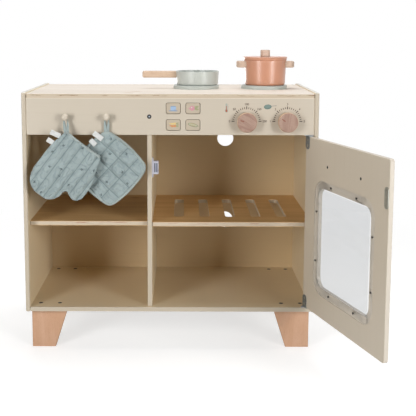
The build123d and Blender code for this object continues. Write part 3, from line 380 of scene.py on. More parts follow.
class Lining(Enum):
    """Which faces of a board are inside the cabinet, by their place through its thickness."""

    NONE = 0
    LOW = 1
    HIGH = 2
    BOTH = 3

    def mask(self, share: Signal) -> Signal:
        """Gives 1 where the place through the thickness is inside the cabinet."""
        if self is Lining.LOW:
            return share.under(0.4, 0.6)
        if self is Lining.HIGH:
            return share.over(0.4, 0.6)
        return share * 0.0 + (1.0 if self is Lining.BOTH else 0.0)


@dataclass(frozen=True)
class PaintedBoard:
    """Sprayed satin paint on plywood: its edges show a trace of the plies, and inside the cabinet its colour
    is painted warmer as painted shade of the light that bounces in there.
    """

    face: str = "#C5BBAB"
    arris: str = "#BFB4A1"
    # crown: the top edges painted paler and cooler, a painted highlight where the light from above falls
    crown_highlight: str = "#DFDED8"
    # inside: painted warm shade of the light that bounces about inside the cabinet
    inside: str = "#DDCCAC"

    def build(self, name: str, board: Board, lining: Lining = Lining.NONE) -> bpy.types.Material:
        """Makes the paint for one board.

        Args:
            name: the material's name.
            board: where the board lies.
            lining: which of its faces are inside the cabinet.

        Returns:
            The finished material.
        """
        shader = Shader(name)
        at = board.own_at(shader)
        _, y, z = shader.parts(at)
        edge, share = board.edge(at)
        clouds = shader.clouds(at, 7.0, 2.0)
        grain = board.clouds(at, 6.0, 210.0, 4.0, 0.6)
        peel = shader.clouds(at, 620.0, 2.0, 0.6)
        plies = (share * (math.pi * PLIES)).wave()
        stripes = board.clouds(at, 2.5, 520.0, 2.0).over(0.46, 0.70) * edge
        worn = board.clouds(at, 9.0, 260.0, 2.0).over(0.58, 0.74) * edge
        # painted highlight along the board's top edge
        crown_highlight = z.over(board.top - 2.4 * MM, board.top - 0.9 * MM)
        colour = shader.coats(
            self.face,
            # faces inside the cabinet take the inside colour: painted warm shade
            (lining.mask(share) * y.over(board.front + 0.3 * MM, board.front + 3.2 * MM), self.inside),
            (edge * 0.85, shader.mix(crown_highlight, self.arris, self.crown_highlight)),
            (clouds.over(0.3, 0.8) * (1 - edge) * 0.10, "#BEB19B"),
            (grain.over(0.5, 0.75) * 0.07, "#A8987D"),
            (plies * edge * 0.08, "#B59F83"),
            (stripes * 0.16, "#BCA98E"),
            (worn * 0.08, "#F3EDE3"),
        )
        rough = 0.44 + peel * 0.10 - worn * 0.08
        relief = shader.bump(peel * 0.55 + grain * 0.45 + plies * edge * 0.5, 0.10 * MM, 0.7)
        return shader.surface(colour, rough, relief, Coat_Weight=0.06, Coat_Roughness=0.3)


@dataclass(frozen=True)
class BareBoard:
    """Lacquered bare plywood: grain and pin knots on its faces, its plies in its edges."""

    pale: str
    dark: str
    fleck: str
    ply_pale: str = "#CFC3B0"
    ply_dark: str = "#B9A78F"
    streak: str = "#7A5236"
    streaks: float = 0.5
    shine: float = 0.5

    def build(self, name: str, board: Board) -> bpy.types.Material:
        """Makes the wood for one board."""
        shader = Shader(name)
        at = board.own_at(shader)
        edge, share = board.edge(at)
        figure = board.clouds(at, 3.0, 34.0, 4.0, 0.55, 0.6)
        rings = (board.clouds(at, 1.6, 12.0, 2.0, 0.5, 0.4) * 70.0).wave()
        pores = board.clouds(at, 60.0, 1500.0, 3.0, 0.7)
        knot = shader.cells(shader.along(at, board.grain, 9.0, 22.0))
        chance = shader.parts(Signal(shader, knot.outputs["Color"]))[0]
        knots = Signal(shader, knot.outputs["Distance"]).under(0.05, 0.17) * chance.over(0.80, 0.84)
        gap = board.clouds(at, 26.0, 420.0, 3.0, 0.6).over(0.54, 0.64) * abs(share - 0.64).under(0.08, 0.20)
        stops = [(i / PLIES, (self.ply_pale, self.ply_dark)[i % 2]) for i in range(PLIES)]
        plies = shader.coats(
            shader.bands(share + (pores - 0.5) * 0.05, stops),
            (figure * 0.4, "#CDBCA4"), (gap * self.streaks, self.streak),
        )
        x = shader.parts(at)[0]
        # joint: darkens the edges at the board's ends, where it meets the side panels, as painted shade of
        # the gap there
        joint = (x - board.ends[0]).lowest(board.ends[1] - x).under(0.9 * MM, 2.0 * MM) * edge
        colour = shader.coats(
            self.pale,
            (figure.over(0.25, 0.75), self.dark),
            (rings * 0.20, self.dark),
            (pores.over(0.52, 0.70) * 0.22, self.fleck),
            (knots * 0.7, self.fleck),
            (edge, plies),
            (joint * 0.75, "#4E3A2B"),
        )
        rough = 0.54 + pores * 0.16 + edge * 0.06
        relief = shader.bump(pores * 0.6 + figure * 0.2 - gap * edge * 0.8, 0.12 * MM, 0.7)
        return shader.surface(
            colour, rough, relief, Coat_Weight=0.03, Coat_Roughness=0.4, Specular_IOR_Level=self.shine
        )


@dataclass(frozen=True)
class SolidBeech:
    """Oiled solid beech: growth bands and the short dark dashes of its rays, with the sides behind a front
    face painted paler as a painted highlight.
    """

    pale: str = "#D9B08F"
    dark: str = "#C3946F"
    dash: str = "#9C6E50"
    bands: float = 70.0
    contrast: float = 0.6
    # side: paler colour for the sides behind the front face, a painted highlight where the lamps light them
    side: str = "#DDBA98"
    front: Optional[float] = None

    def build(
        self, name: str, grain: Axis, lean: float = 0.0, centre: Vector = Vector((0, 0, 0))
    ) -> bpy.types.Material:
        """Makes the wood.

        Args:
            name: the material's name.
            grain: the way that the fibres run.
            lean: how far the fibres lean from it about the Y axis, in degrees.
            centre: the point about which they lean.

        Returns:
            The finished material.
        """
        shader = Shader(name)
        turn = Matrix.Rotation(math.radians(lean), 3, "Y")
        at = shader.mapped(shader.at(), turn=(0.0, math.radians(lean), 0.0), move=-(turn @ centre))
        block = Board(0.0, 1.0, Axis.Z, grain)
        rings = (block.clouds(at, 4.0, 26.0, 3.0, 0.5, 0.3) * self.bands).wave()
        fibres = block.clouds(at, 45.0, 1400.0, 3.0, 0.7)
        ray = shader.cells(shader.along(at, grain, 190.0, 1300.0))
        dashes = Signal(shader, ray.outputs["Distance"]).under(0.16, 0.34)
        colour = shader.coats(
            self.pale,
            (rings * self.contrast, self.dark),
            (shader.clouds(at, 14.0, 2.0).over(0.35, 0.75) * 0.25, self.dark),
            (dashes * 0.38, self.dash),
            (fibres.over(0.5, 0.72) * 0.25, self.dash),
        )
        # paints the sides behind the front paler: painted highlight
        if self.front is not None:
            sides = shader.parts(shader.at())[1].over(self.front + 0.4 * MM, self.front + 1.4 * MM)
            colour = shader.mix(sides * 0.75, colour, self.side)
        relief = shader.bump(fibres * 0.6 + rings * 0.25 - dashes * 0.3, 0.12 * MM, 0.8)
        return shader.surface(colour, 0.46 + fibres * 0.14, relief, Coat_Weight=0.05, Coat_Roughness=0.35)


@dataclass(frozen=True)
class SatinCoat:
    """Baked enamel or satin paint with a fine orange peel, worn rims and, behind a front, sides painted dark
    as painted shade in the gap around them.
    """

    colour: str
    shade: str
    rim: str
    rough: float = 0.34
    coat: float = 0.25
    rims: tuple[float, ...] = ()
    spread: float = 1.1 * MM
    front: Optional[float] = None

    def build(self, name: str) -> bpy.types.Material:
        """Makes the coat, worn at the heights of its rims."""
        shader = Shader(name)
        at = shader.at()
        _, y, z = shader.parts(at)
        peel = shader.clouds(at, 420.0, 2.0, 0.6)
        clouds = shader.clouds(at, 24.0, 3.0)
        specks = shader.clouds(at, 900.0, 1.0).over(0.70, 0.80)
        worn = shader.clouds(at, 130.0, 3.0).over(0.45, 0.75)
        colour = shader.coats(
            self.colour, (clouds.over(0.3, 0.8) * 0.45, self.shade), (specks * 0.12, self.rim)
        )
        for rim in self.rims:
            near = abs(z - rim).under(0.3 * self.spread, self.spread)
            colour = shader.mix(near * (0.25 + worn * 0.35), colour, self.rim)
        # sides behind the front are painted almost black: painted shade in the gap around the piece
        if self.front is not None:
            sides = y.over(self.front + 0.2 * MM, self.front + 0.8 * MM)
            colour = shader.mix(sides * 0.95, colour, "#2C211A")
        rough = self.rough + peel * 0.10 + worn * 0.04
        relief = shader.bump(peel, 0.05 * MM, 0.8)
        return shader.surface(colour, rough, relief, Coat_Weight=self.coat, Coat_Roughness=0.22)


@dataclass(frozen=True)
class Metal:
    """Plated or bare steel with fine drawing lines and handling marks, and a painted highlight in the middle
    of a socket.
    """

    colour: str
    dull: str
    rough: float
    way: tuple[float, float, float] = (60.0, 60.0, 1400.0)
    bare: float = 1.0
    worn: Optional[Vector] = None

    def build(self, name: str) -> bpy.types.Material:
        """Makes the metal, less than all bare where a skin covers it."""
        shader = Shader(name)
        at = shader.at()
        lines = shader.clouds(shader.mapped(at, scale=self.way), 1.0, 3.0, 0.6)
        marks = shader.clouds(at, 260.0, 3.0).over(0.45, 0.75)
        colour = shader.coats(self.colour, (marks * 0.5, self.dull), (lines * 0.2, self.dull))
        # worn: a paler, cooler disc in the middle of the socket, a painted highlight
        if self.worn is not None:
            x, _, z = shader.parts(at)
            x, z = x - self.worn.x, z - self.worn.z
            colour = shader.mix((x * x + z * z).under((1.0 * MM) ** 2, (1.9 * MM) ** 2), colour, "#C2CAD4")
        rough = self.rough + lines * 0.12 + marks * 0.08
        return shader.surface(colour, rough, shader.bump(lines, 0.03 * MM, 0.6), Metallic=self.bare)


@dataclass(frozen=True)
class MagnetStack:
    """A pale sintered magnet between two dark pole plates."""

    plate: str = "#2C282B"
    block: str = "#ADB0C2"

    def build(self, name: str, node: str) -> bpy.types.Material:
        """Makes the stack, its plates at the two sides of the node's box."""
        low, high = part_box(node)
        shader = Shader(name)
        at = shader.at()
        share = (shader.parts(at)[0] - low.x) / (high.x - low.x)
        middle = abs(share - 0.5).under(0.16, 0.20)
        grain = shader.clouds(at, 900.0, 2.0, 0.6)
        colour = shader.coats(self.plate, (middle, self.block), (grain * 0.3, "#6C7485"))
        relief = shader.bump(grain, 0.03 * MM, 0.6)
        return shader.surface(colour, 0.42 + grain * 0.15, relief, Metallic=(1 - middle) * 0.2)


@dataclass(frozen=True)
class Moulding:
    """Moulded plastic or pressed powder with a fine spark-eroded grain."""

    colour: str
    shade: str
    rough: float = 0.45

    def build(self, name: str) -> bpy.types.Material:
        """Makes the plastic."""
        shader = Shader(name)
        at = shader.at()
        grain = shader.clouds(at, 1500.0, 2.0, 0.6)
        colour = shader.mix(shader.clouds(at, 60.0).over(0.35, 0.8) * 0.5, self.colour, self.shade)
        return shader.surface(colour, self.rough + grain * 0.12, shader.bump(grain, 0.03 * MM, 0.7))


@dataclass(frozen=True)
class ClearPane:
    """A clear sheet of acrylic with a cold tint, pale diagonal streaks of painted reflection and fine
    scratches.
    """

    tint: str = "#7E8C99"
    body: float = 0.20
    rim_body: float = 0.02
    rim: float = 1.5 * MM

    def build(self, name: str, board: Board, middle: Vector, half: tuple[float, float]) -> bpy.types.Material:
        """Makes the sheet.

        Args:
            name: the material's name.
            board: the door's own directions.
            middle: the middle of the opening there.
            half: half the opening's width and height.

        Returns:
            The finished material.
        """
        shader = Shader(name)
        at = shader.at()
        x, _, z = shader.parts(board.own_at(shader))
        inner = abs(x - middle.x).under(half[0] - self.rim, half[0])
        inner = inner * abs(z - middle.z).under(half[1] - self.rim, half[1])
        leaning = shader.mapped(at, scale=(1.0, 1.0, 5.2), turn=(math.radians(12), math.radians(-11), 0.0))
        # streaks: pale diagonal streaks of painted reflection, slightly less clear than the rest
        streaks = shader.clouds(leaning, 2.4, 1.0).over(0.56, 0.66)
        scratches = shader.clouds(shader.mapped(at, scale=(40.0, 40.0, 900.0)), 1.0, 2.0).over(0.66, 0.74)
        colour = shader.mix(streaks * 0.5, self.tint, "#DDE2E6")
        alpha = self.rim_body + inner * (self.body - self.rim_body) + streaks * 0.05 + scratches * 0.03
        return shader.surface(colour, 0.06 + scratches * 0.15, Alpha=alpha, IOR=1.49)


class Ink(Enum):
    """The colours that are printed or burnt on the wood."""

    TICK = "#483A30"
    NUMBER = "#64564A"
    STEM = "#A4AAA0"
    SHINE = "#C3CCC4"
    RED = "#AE5C40"
    TEAL = "#6E857F"
    TEAL_DEEP = "#5F7670"
    GREY = "#8F8B84"
    BURN = "#8A4A36"
    BLUE = "#9AB4D2"
    BLUE_DEEP = "#7896BD"
    PINK = "#CC8E9C"
    LEAF = "#9BA077"
    OLIVE = "#8F9179"
    PEA = "#AFB197"
    ORANGE = "#CC8A55"
    YELLOW = "#D6BE7C"
    CRUST = "#B9A275"

    def material(self) -> bpy.types.Material:
        """Gives a thin film of the ink that lets a little of the ground show, made once."""
        name = "ink_" + self.name.lower()
        if name in bpy.data.materials:
            return bpy.data.materials[name]
        shader = Shader(name)
        at = shader.at()
        dots = shader.clouds(at, 1800.0, 2.0, 0.6)
        clouds = shader.clouds(at, 190.0, 3.0)
        colour = shader.coats(
            self.value, (dots.over(0.5, 0.7) * 0.18, "#D9CFBF"), (clouds.over(0.4, 0.8) * 0.15, "#6A6058")
        )
        return shader.surface(colour, 0.5 + dots * 0.15, shader.bump(dots, 0.03 * MM, 0.6))


class Layout(Enum):
    """How the seams of a quilted piece run."""

    CHANNELS = "one way"
    SQUARES = "both ways"
    PLAIN = "none"


@dataclass(frozen=True)
class Cotton:
    """Plain-woven cotton with quilting stitches, a scattered sprig print and painted shade in its seams,
    their valleys and its creases.
    """

    colour: str = "#9FADAE"
    shade: str = "#8C9A9C"
    thread: str = "#74858A"
    sprig: str = "#4C5A5D"
    layout: Layout = Layout.PLAIN
    pitch: float = 19.0
    start: float = 0.0
    sprigs: bool = True
    thread_pitch: float = 0.62
    stitch: float = 3.1
    leaf: tuple[float, float] = (2.5, 0.8)

    def _seam(self, across: Signal, along: Signal) -> list[Signal]:
        """Finds the nearest seam of one direction.

        Args:
            across: the place across the seams, in millimetres.
            along: the place along them, in millimetres.

        Returns:
            Masks of the sunk line, of its stitches and of the valley that the seam draws into the padding.
        """
        near = abs(((across - self.start) / self.pitch + 40.5).part() - 0.5) * self.pitch
        dash = abs((along / self.stitch).part() - 0.5).under(0.28, 0.36)
        return [near.under(0.2, 1.5), near.under(0.25, 0.5) * dash, near.under(0.0, 6.5)]

    def _sprigs(self, cut: Signal) -> Signal:
        """Scatters small three-leaved sprigs, each turned its own way."""
        shader = cut.shader
        cell = shader.cells(cut, 3.0, 0.8, flat=True)
        centre = Signal(shader, cell.outputs["Position"])
        away = shader.made("ShaderNodeVectorMath", {"operation": "SUBTRACT"}, {0: cut, 1: centre})
        spin = shader.parts(Signal(shader, cell.outputs["Color"]))[0] * 6.3
        upright, feeds = {"rotation_type": "Z_AXIS"}, {"Vector": away, "Angle": spin}
        own = shader.made("ShaderNodeVectorRotate", upright, feeds)
        scale, size = (CLOTH_UNIT, CLOTH_UNIT, 1.0), (1 / self.leaf[0], 1 / self.leaf[1], 0.0)
        masks = []
        for degrees, reach in ((0.0, 2.5), (52.0, 2.1), (-48.0, 2.0)):
            turned = shader.mapped(own, scale, (0.0, 0.0, math.radians(degrees)), (-reach, 0.0, 0.0))
            masks.append(shader.length(shader.mapped(turned, size)).under(0.85, 1.15))
        return masks[0].highest(masks[1]).highest(masks[2])

    def build(self, name: str) -> bpy.types.Material:
        """Makes the cloth."""
        shader = Shader(name)
        cut = shader.cloth_at()
        u, v, _ = shader.parts(cut)
        turns = CLOTH_UNIT * 2 * math.pi / self.thread_pitch
        weave = (u * turns).wave() * (v * turns).wave()
        slub = shader.clouds(shader.mapped(cut, scale=(160.0, 9.0, 1.0)), 1.0, 2.0)
        clouds = shader.clouds(cut, 3.0, 2.0, 0.5)
        loose = shader.mapped(cut, scale=(1.0, 0.5, 1.0), turn=(0.0, 0.0, 0.6))
        loose = shader.clouds(loose, 5.5, 1.0, 0.4, 1.6)
        # folds: the creases of the loose relief are darkened with the thread colour as painted shade
        folds = abs(loose - 0.5).under(0.0, 0.07)
        colour = shader.coats(
            self.colour,
            (clouds.over(0.3, 0.75) * 0.35, self.shade),
            (slub.over(0.5, 0.75) * 0.22, "#B7C2C0"),
            (weave * 0.16, self.shade),
            (folds * 0.34, self.thread),
        )
        height = weave * 0.06 - folds * 0.9 + loose * 2.6
        if self.sprigs:
            colour = shader.mix(self._sprigs(cut) * 0.8, colour, self.sprig)
        if self.layout is not Layout.PLAIN:
            across, along = u * CLOTH_UNIT, v * CLOTH_UNIT
            masks = self._seam(across, along)
            if self.layout is Layout.SQUARES:
                masks = [mask.highest(other) for mask, other in zip(masks, self._seam(along, across))]
            lines, stitches, valleys = masks
            # the seam valleys and sunk seam lines are darkened as painted shade; the stitches take the
            # thread's own colour
            colour = shader.coats(
                colour, (valleys * 0.14, "#7A8A8A"), (lines * 0.48, "#5F6F6F"), (stitches * 0.8, self.thread)
            )
            height = height - valleys * 1.1 - lines * 0.25 + stitches * 0.08
        return shader.surface(
            colour, 0.84 + weave * 0.08, shader.bump(height, MM, 0.9), Sheen_Weight=0.25, Sheen_Roughness=0.5,
            Specular_IOR_Level=0.25,
        )


@dataclass(frozen=True)
class Ribbon:
    """Narrow woven tape: fine ribs across it and firm selvedges."""

    colour: str
    shade: str
    rib: float = 0.7
    cord: float = 0.5

    def build(self, name: str) -> bpy.types.Material:
        """Makes the tape."""
        shader = Shader(name)
        cut = shader.cloth_at()
        u, v, _ = shader.parts(cut)
        ribs = (v * (CLOTH_UNIT * 2 * math.pi / self.rib)).wave()
        cross = (u * (CLOTH_UNIT * 2 * math.pi / self.cord)).wave()
        clouds = shader.clouds(cut, 22.0, 3.0)
        colour = shader.coats(
            self.colour, (clouds.over(0.3, 0.8) * 0.5, self.shade), (ribs * cross * 0.3, self.shade)
        )
        relief = shader.bump(ribs * 0.6 + cross * 0.3, 0.12 * MM, 0.9)
        return shader.surface(colour, 0.82 + ribs * 0.08, relief, Sheen_Weight=0.2)


def link(name: str, data: bpy.types.ID) -> bpy.types.Object:
    """Adds an object on some data to the scene."""
    made = bpy.data.objects.new(name, data)
    bpy.context.scene.collection.objects.link(made)
    return made


def meshed(name: str, work: bmesh.types.BMesh) -> bpy.types.Mesh:
    """Turns finished work into a mesh."""
    mesh = bpy.data.meshes.new(name)
    work.to_mesh(mesh)
    work.free()
    return mesh


def smoothed(mesh: bpy.types.Mesh) -> bpy.types.Mesh:
    """Shades a mesh smoothly."""
    for polygon in mesh.polygons:
        polygon.use_smooth = True
    return mesh


def settled(piece: bpy.types.Object) -> bpy.types.Mesh:
    """Gives a piece's mesh as its modifiers leave it."""
    return bpy.data.meshes.new_from_object(piece.evaluated_get(bpy.context.evaluated_depsgraph_get()))


def refine(piece: bpy.types.Object, thickness: float = 0.0) -> None:
    """Subdivides a piece once, or thickens it by so many millimetres, as its own modifiers."""
    if thickness:
        solid = piece.modifiers.new("thick", "SOLIDIFY")
        solid.thickness, solid.offset = thickness * MM, 0.0
    else:
        finer = piece.modifiers.new("finer", "SUBSURF")
        finer.levels = finer.render_levels = 1


def adopt(
    piece: bpy.types.Object, body: str, slot: Optional[str], *materials: bpy.types.Material
) -> bpy.types.Object:
    """Finishes a piece and sets it on the body that it rides on.

    Args:
        piece: the piece, with its place in its mesh.
        body: the body that it rides on.
        slot: not used.
        materials: its materials.

    Returns:
        The piece.
    """
    if piece.data.materials:
        piece.data.materials.clear()
    for material in materials:
        piece.data.materials.append(material)
    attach(piece, body)
    LOG.info("piece %s: %d faces, rides on %s", piece.name, len(piece.data.polygons), body)
    return piece


def dress(nodes: Nodes, names: Sequence[str], material: bpy.types.Material) -> None:
    """Gives carried-over nodes a material."""
    for name in names:
        for slot in nodes[name].material_slots:
            slot.material = material
        if not nodes[name].material_slots:
            nodes[name].data.materials.append(material)
        LOG.info("node %s: %s", name, material.name)


class FlatPrint:
    """Thin printed shapes on an upright face, each with its own ink, in the drawing's millimetres."""

    UPRIGHT = Matrix(((1, 0, 0, 0), (0, 0, -1, 0), (0, 1, 0, 0), (0, 0, 0, 1)))
    LAYER = 0.05
    CORNER = 0.38
    WEIGHT = 0.12

    def __init__(self, face: float, film: float = 0.10) -> None:
        """Starts an empty print on the face at that Y."""
        self.face = face
        self.film = film
        self.work = bmesh.new()
        self.inks: list[Ink] = []

    def _set(self, verts: Sequence[bmesh.types.BMVert], local: Matrix, ink: Ink, layer: int = 0) -> None:
        """Places new shapes on the face and inks them."""
        lift = Matrix.Translation((0, 0, self.LAYER * layer))
        bmesh.ops.transform(self.work, matrix=lift @ local, verts=list(verts))
        if ink not in self.inks:
            self.inks.append(ink)
        for face in {f for v in verts for f in v.link_faces}:
            face.material_index = self.inks.index(ink)

    def disc(
        self, x: float, z: float, across: float, up: float, ink: Ink, turn: float = 0.0, layer: int = 0,
        sides: int = 28,
    ) -> None:
        """Adds an ellipse of those half sizes, or with three sides a wedge."""
        made = bmesh.ops.create_circle(self.work, cap_ends=True, segments=sides, radius=1.0)
        local = Matrix.Translation((x, z, 0)) @ Matrix.Rotation(math.radians(turn), 4, "Z")
        self._set(made["verts"], local @ Matrix.Diagonal((across, up, 1, 1)), ink, layer)

    def bar(self, x0: float, z0: float, x1: float, z1: float, width: float, ink: Ink, layer: int = 0) -> None:
        """Adds a bar with eased corners from one point to another."""
        made = bmesh.ops.create_grid(self.work, x_segments=1, y_segments=1, size=0.5)
        length = math.hypot(x1 - x0, z1 - z0)
        bmesh.ops.scale(self.work, vec=(length, width, 1), verts=made["verts"])
        corner = bmesh.ops.bevel(
            self.work, geom=made["verts"], offset=self.CORNER * min(width, length), affect="VERTICES",
            segments=3, profile=0.5, material=-1,
        )
        middle = Matrix.Translation(((x0 + x1) / 2, (z0 + z1) / 2, 0))
        local = middle @ Matrix.Rotation(math.atan2(z1 - z0, x1 - x0), 4, "Z")
        self._set(corner["verts"], local, ink, layer)

    def ring(self, x: float, z: float, outer: float, wall: float, ink: Ink) -> None:
        """Adds a ring of that outer radius and wall."""
        made = bmesh.ops.create_circle(self.work, cap_ends=True, segments=24, radius=outer)
        faces = list({f for v in made["verts"] for f in v.link_faces})
        bmesh.ops.inset_region(self.work, faces=faces, thickness=wall, use_even_offset=True)
        inner = {v for f in faces for v in f.verts}
        bmesh.ops.delete(self.work, geom=faces, context="FACES_ONLY")
        self._set(list(set(made["verts"]) | inner), Matrix.Translation((x, z, 0)), ink)

    def number(self, body: str, x: float, z: float, size: float, ink: Ink) -> None:
        """Adds a number centred on a point."""
        curve = bpy.data.curves.new("number", "FONT")
        curve.body, curve.size = body, size
        curve.align_x, curve.align_y = "CENTER", "CENTER"
        curve.offset = self.WEIGHT
        holder = bpy.data.objects.new("number", curve)
        mesh = bpy.data.meshes.new_from_object(holder)
        before = set(self.work.verts)
        self.work.from_mesh(mesh)
        self._set([v for v in self.work.verts if v not in before], Matrix.Translation((x, z, 0)), ink)
        bpy.data.objects.remove(holder)
        bpy.data.curves.remove(curve)
        bpy.data.meshes.remove(mesh)

    def finish(self, name: str, body: str, slot: Optional[str] = None) -> None:
        """Gives the shapes their film's thickness and adds them as one piece."""
        bmesh.ops.recalc_face_normals(self.work, faces=self.work.faces[:])
        for face in self.work.faces:
            if face.normal.z < 0:
                face.normal_flip()
        bmesh.ops.solidify(self.work, geom=self.work.faces[:], thickness=self.film)
        verts = self.work.verts[:]
        bmesh.ops.translate(self.work, vec=(0, 0, -min(v.co.z for v in verts)), verts=verts)
        bmesh.ops.transform(self.work, matrix=self.UPRIGHT, verts=verts)
        bmesh.ops.translate(self.work, vec=DRAWING_ORIGIN + Vector((0, self.face, 0)), verts=verts)
        bmesh.ops.scale(self.work, vec=(MM, MM, MM), verts=verts)
        bmesh.ops.recalc_face_normals(self.work, faces=self.work.faces[:])
        adopt(link(name, meshed(name, self.work)), body, slot, *(ink.material() for ink in self.inks))


@dataclass
class Cabinet:
    """The fixed carcass: boards, legs, pegs, hobs and fittings."""

    nodes: Nodes

    def boards(self) -> None:
        """Paints the boards and finishes the bare ones."""
        # the back panel's inside colour is a deeper painted warm shade
        painted, back = PaintedBoard(), PaintedBoard(inside="#D2BA92")
        for name, thin, grain, lining, paint in (
            ("left_side_panel", Axis.X, Axis.Z, Lining.HIGH, painted),
            ("right_side_panel", Axis.X, Axis.Z, Lining.LOW, painted),
            ("centre_divider", Axis.X, Axis.Z, Lining.BOTH, painted),
            ("front_panel", Axis.Y, Axis.X, Lining.HIGH, painted),
            ("bottom_panel", Axis.Z, Axis.X, Lining.HIGH, painted),
            ("back_panel", Axis.Y, Axis.X, Lining.LOW, back),
        ):
            dress(self.nodes, [name], paint.build("paint_" + name, Board.of(name, thin, grain), lining))
        top = BareBoard("#EFE6DC", "#E6DCCF", "#BC9672", streaks=0.85, shine=0.32)
        shelf = BareBoard("#E4BC84", "#D0A66F", "#9A6C40", "#CFC2AE", "#BDAD96", "#A35F45", 0.6)
        for name, wood in (("worktop", top), ("left_shelf", shelf), ("oven_shelf", shelf)):
            dress(self.nodes, [name], wood.build("birch_" + name, Board.of(name, Axis.Z, Axis.X)))

    def timber(self) -> None:
        """Finishes the legs, dowels, pegs and hobs."""
        legs = [f"{row}_{side}_leg" for row in ("front", "back") for side in ("left", "right")]
        wood = SolidBeech("#CCA488", "#BE9270", "#AC7F61", 26.0, 0.42)
        dress(self.nodes, [*legs, "panel_dowels"], wood.build("beech_legs", Axis.Z))
        peg = SatinCoat("#D0C6B6", "#C4B8A6", "#E4DDD1", rough=0.42, coat=0.10)
        dress(self.nodes, ["left_peg", "right_peg"], peg.build("paint_pegs"))
        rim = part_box("left_hob")[1].z
        hob = SatinCoat("#BCC2BC", "#B3B9B2", "#D3D9D4", rough=0.40, coat=0.15, rims=(rim,))
        dress(self.nodes, ["left_hob", "right_hob"], hob.build("paint_hobs"))

    def fittings(self) -> None:
        """Finishes the hinges, catch, springs, screws and housing."""
        low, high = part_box("divider_bolt")
        # worn= centres the painted highlight in the bolt's socket
        bolt = Metal("#343437", "#26262A", 0.45, bare=0.3, worn=(low + high) / 2)
        springs = [f"{row}_{side}_button_spring" for row in ("upper", "lower") for side in ("left", "right")]
        zinced = ["upper_hinge_pivot", "lower_hinge_pivot", "divider_barrel_nut", "cabinet_fitting_screws"]
        for names, finish, material in (
            (zinced, Metal("#BCC2CC", "#8E96A2", 0.34, bare=0.5), "zinc_plate"),
            (["leg_screws", "back_panel_screws"], Metal("#575A63", "#3A3C43", 0.42, bare=0.6), "black_oxide"),
            (["divider_bolt"], bolt, "black_socket_bolt"),
            (springs, Metal("#A9ABB0", "#85888E", 0.26, (1400.0, 60.0, 60.0)), "spring_strip"),
            (["button_housing", "catch_housing"], Moulding("#BEBECB", "#ABABBB"), "white_moulding"),
        ):
            dress(self.nodes, names, finish.build(material))
        dress(self.nodes, ["catch_magnet"], MagnetStack().build("magnet_stack", "catch_magnet"))

    def build(self) -> None:
        """Dresses the whole carcass."""
        self.boards()
        self.timber()
        self.fittings()


@dataclass
class OvenDoor:
    """The hinged door with its window, handle and fittings, stored open."""

    nodes: Nodes
    pivot: tuple[float, float] = (283.5, 15.0)
    opened: float = 107.0
    inner: float = 21.0
    outer: float = 12.0
    window_middle: tuple[float, float] = (127.0, 255.3)
    window_size: tuple[float, float] = (205.0, 200.0)

    def build(self) -> None:
        """Paints the door and finishes what is on it."""
        x, y = self.pivot
        hinge = place(x, y, 0.0)
        board = Board(
            (self.outer - y) * MM, (self.inner - y) * MM, Axis.Y, Axis.Z, -math.radians(self.opened),
            (hinge.x, hinge.y),
        )
        middle = Vector(((self.window_middle[0] - x) * MM, 0.0, self.window_middle[1] * MM))
        half = (self.window_size[0] / 2 * MM, self.window_size[1] / 2 * MM)
        for names, material in (
            # the door's paler arris is partly the paint's colour and partly a painted highlight on its
            # rounded edges
            (["oven_door"], PaintedBoard(face="#CABFAE", arris="#D2CABE").build("paint_oven_door", board)),
            (["door_window"], ClearPane().build("clear_pane", board, middle, half)),
            (
                ["upper_hinge_leaf", "lower_hinge_leaf"],
                Metal("#8C9396", "#4E514F", 0.36, bare=0.7).build("steel_hinge_leaves"),
            ),
            (
                ["strike_plate", "door_fitting_screws"],
                Metal("#A8A9A1", "#828580", 0.30, bare=0.6).build("zinc_door_fittings"),
            ),
            (["window_screws", "handle_screws"], Metal("#4A4A4E", "#303034", 0.40).build("dark_door_screws")),
            (["door_handle"], SolidBeech().build("beech_handle", Axis.Z)),
        ):
            dress(self.nodes, names, material)


@dataclass(frozen=True)
class Knob:
    """A knob: its middle, the lean and strength of its growth bands and the two ends of its burnt mark."""

    side: str
    centre: float
    lean: float
    bands: float
    contrast: float
    mark: tuple[float, float, float, float]


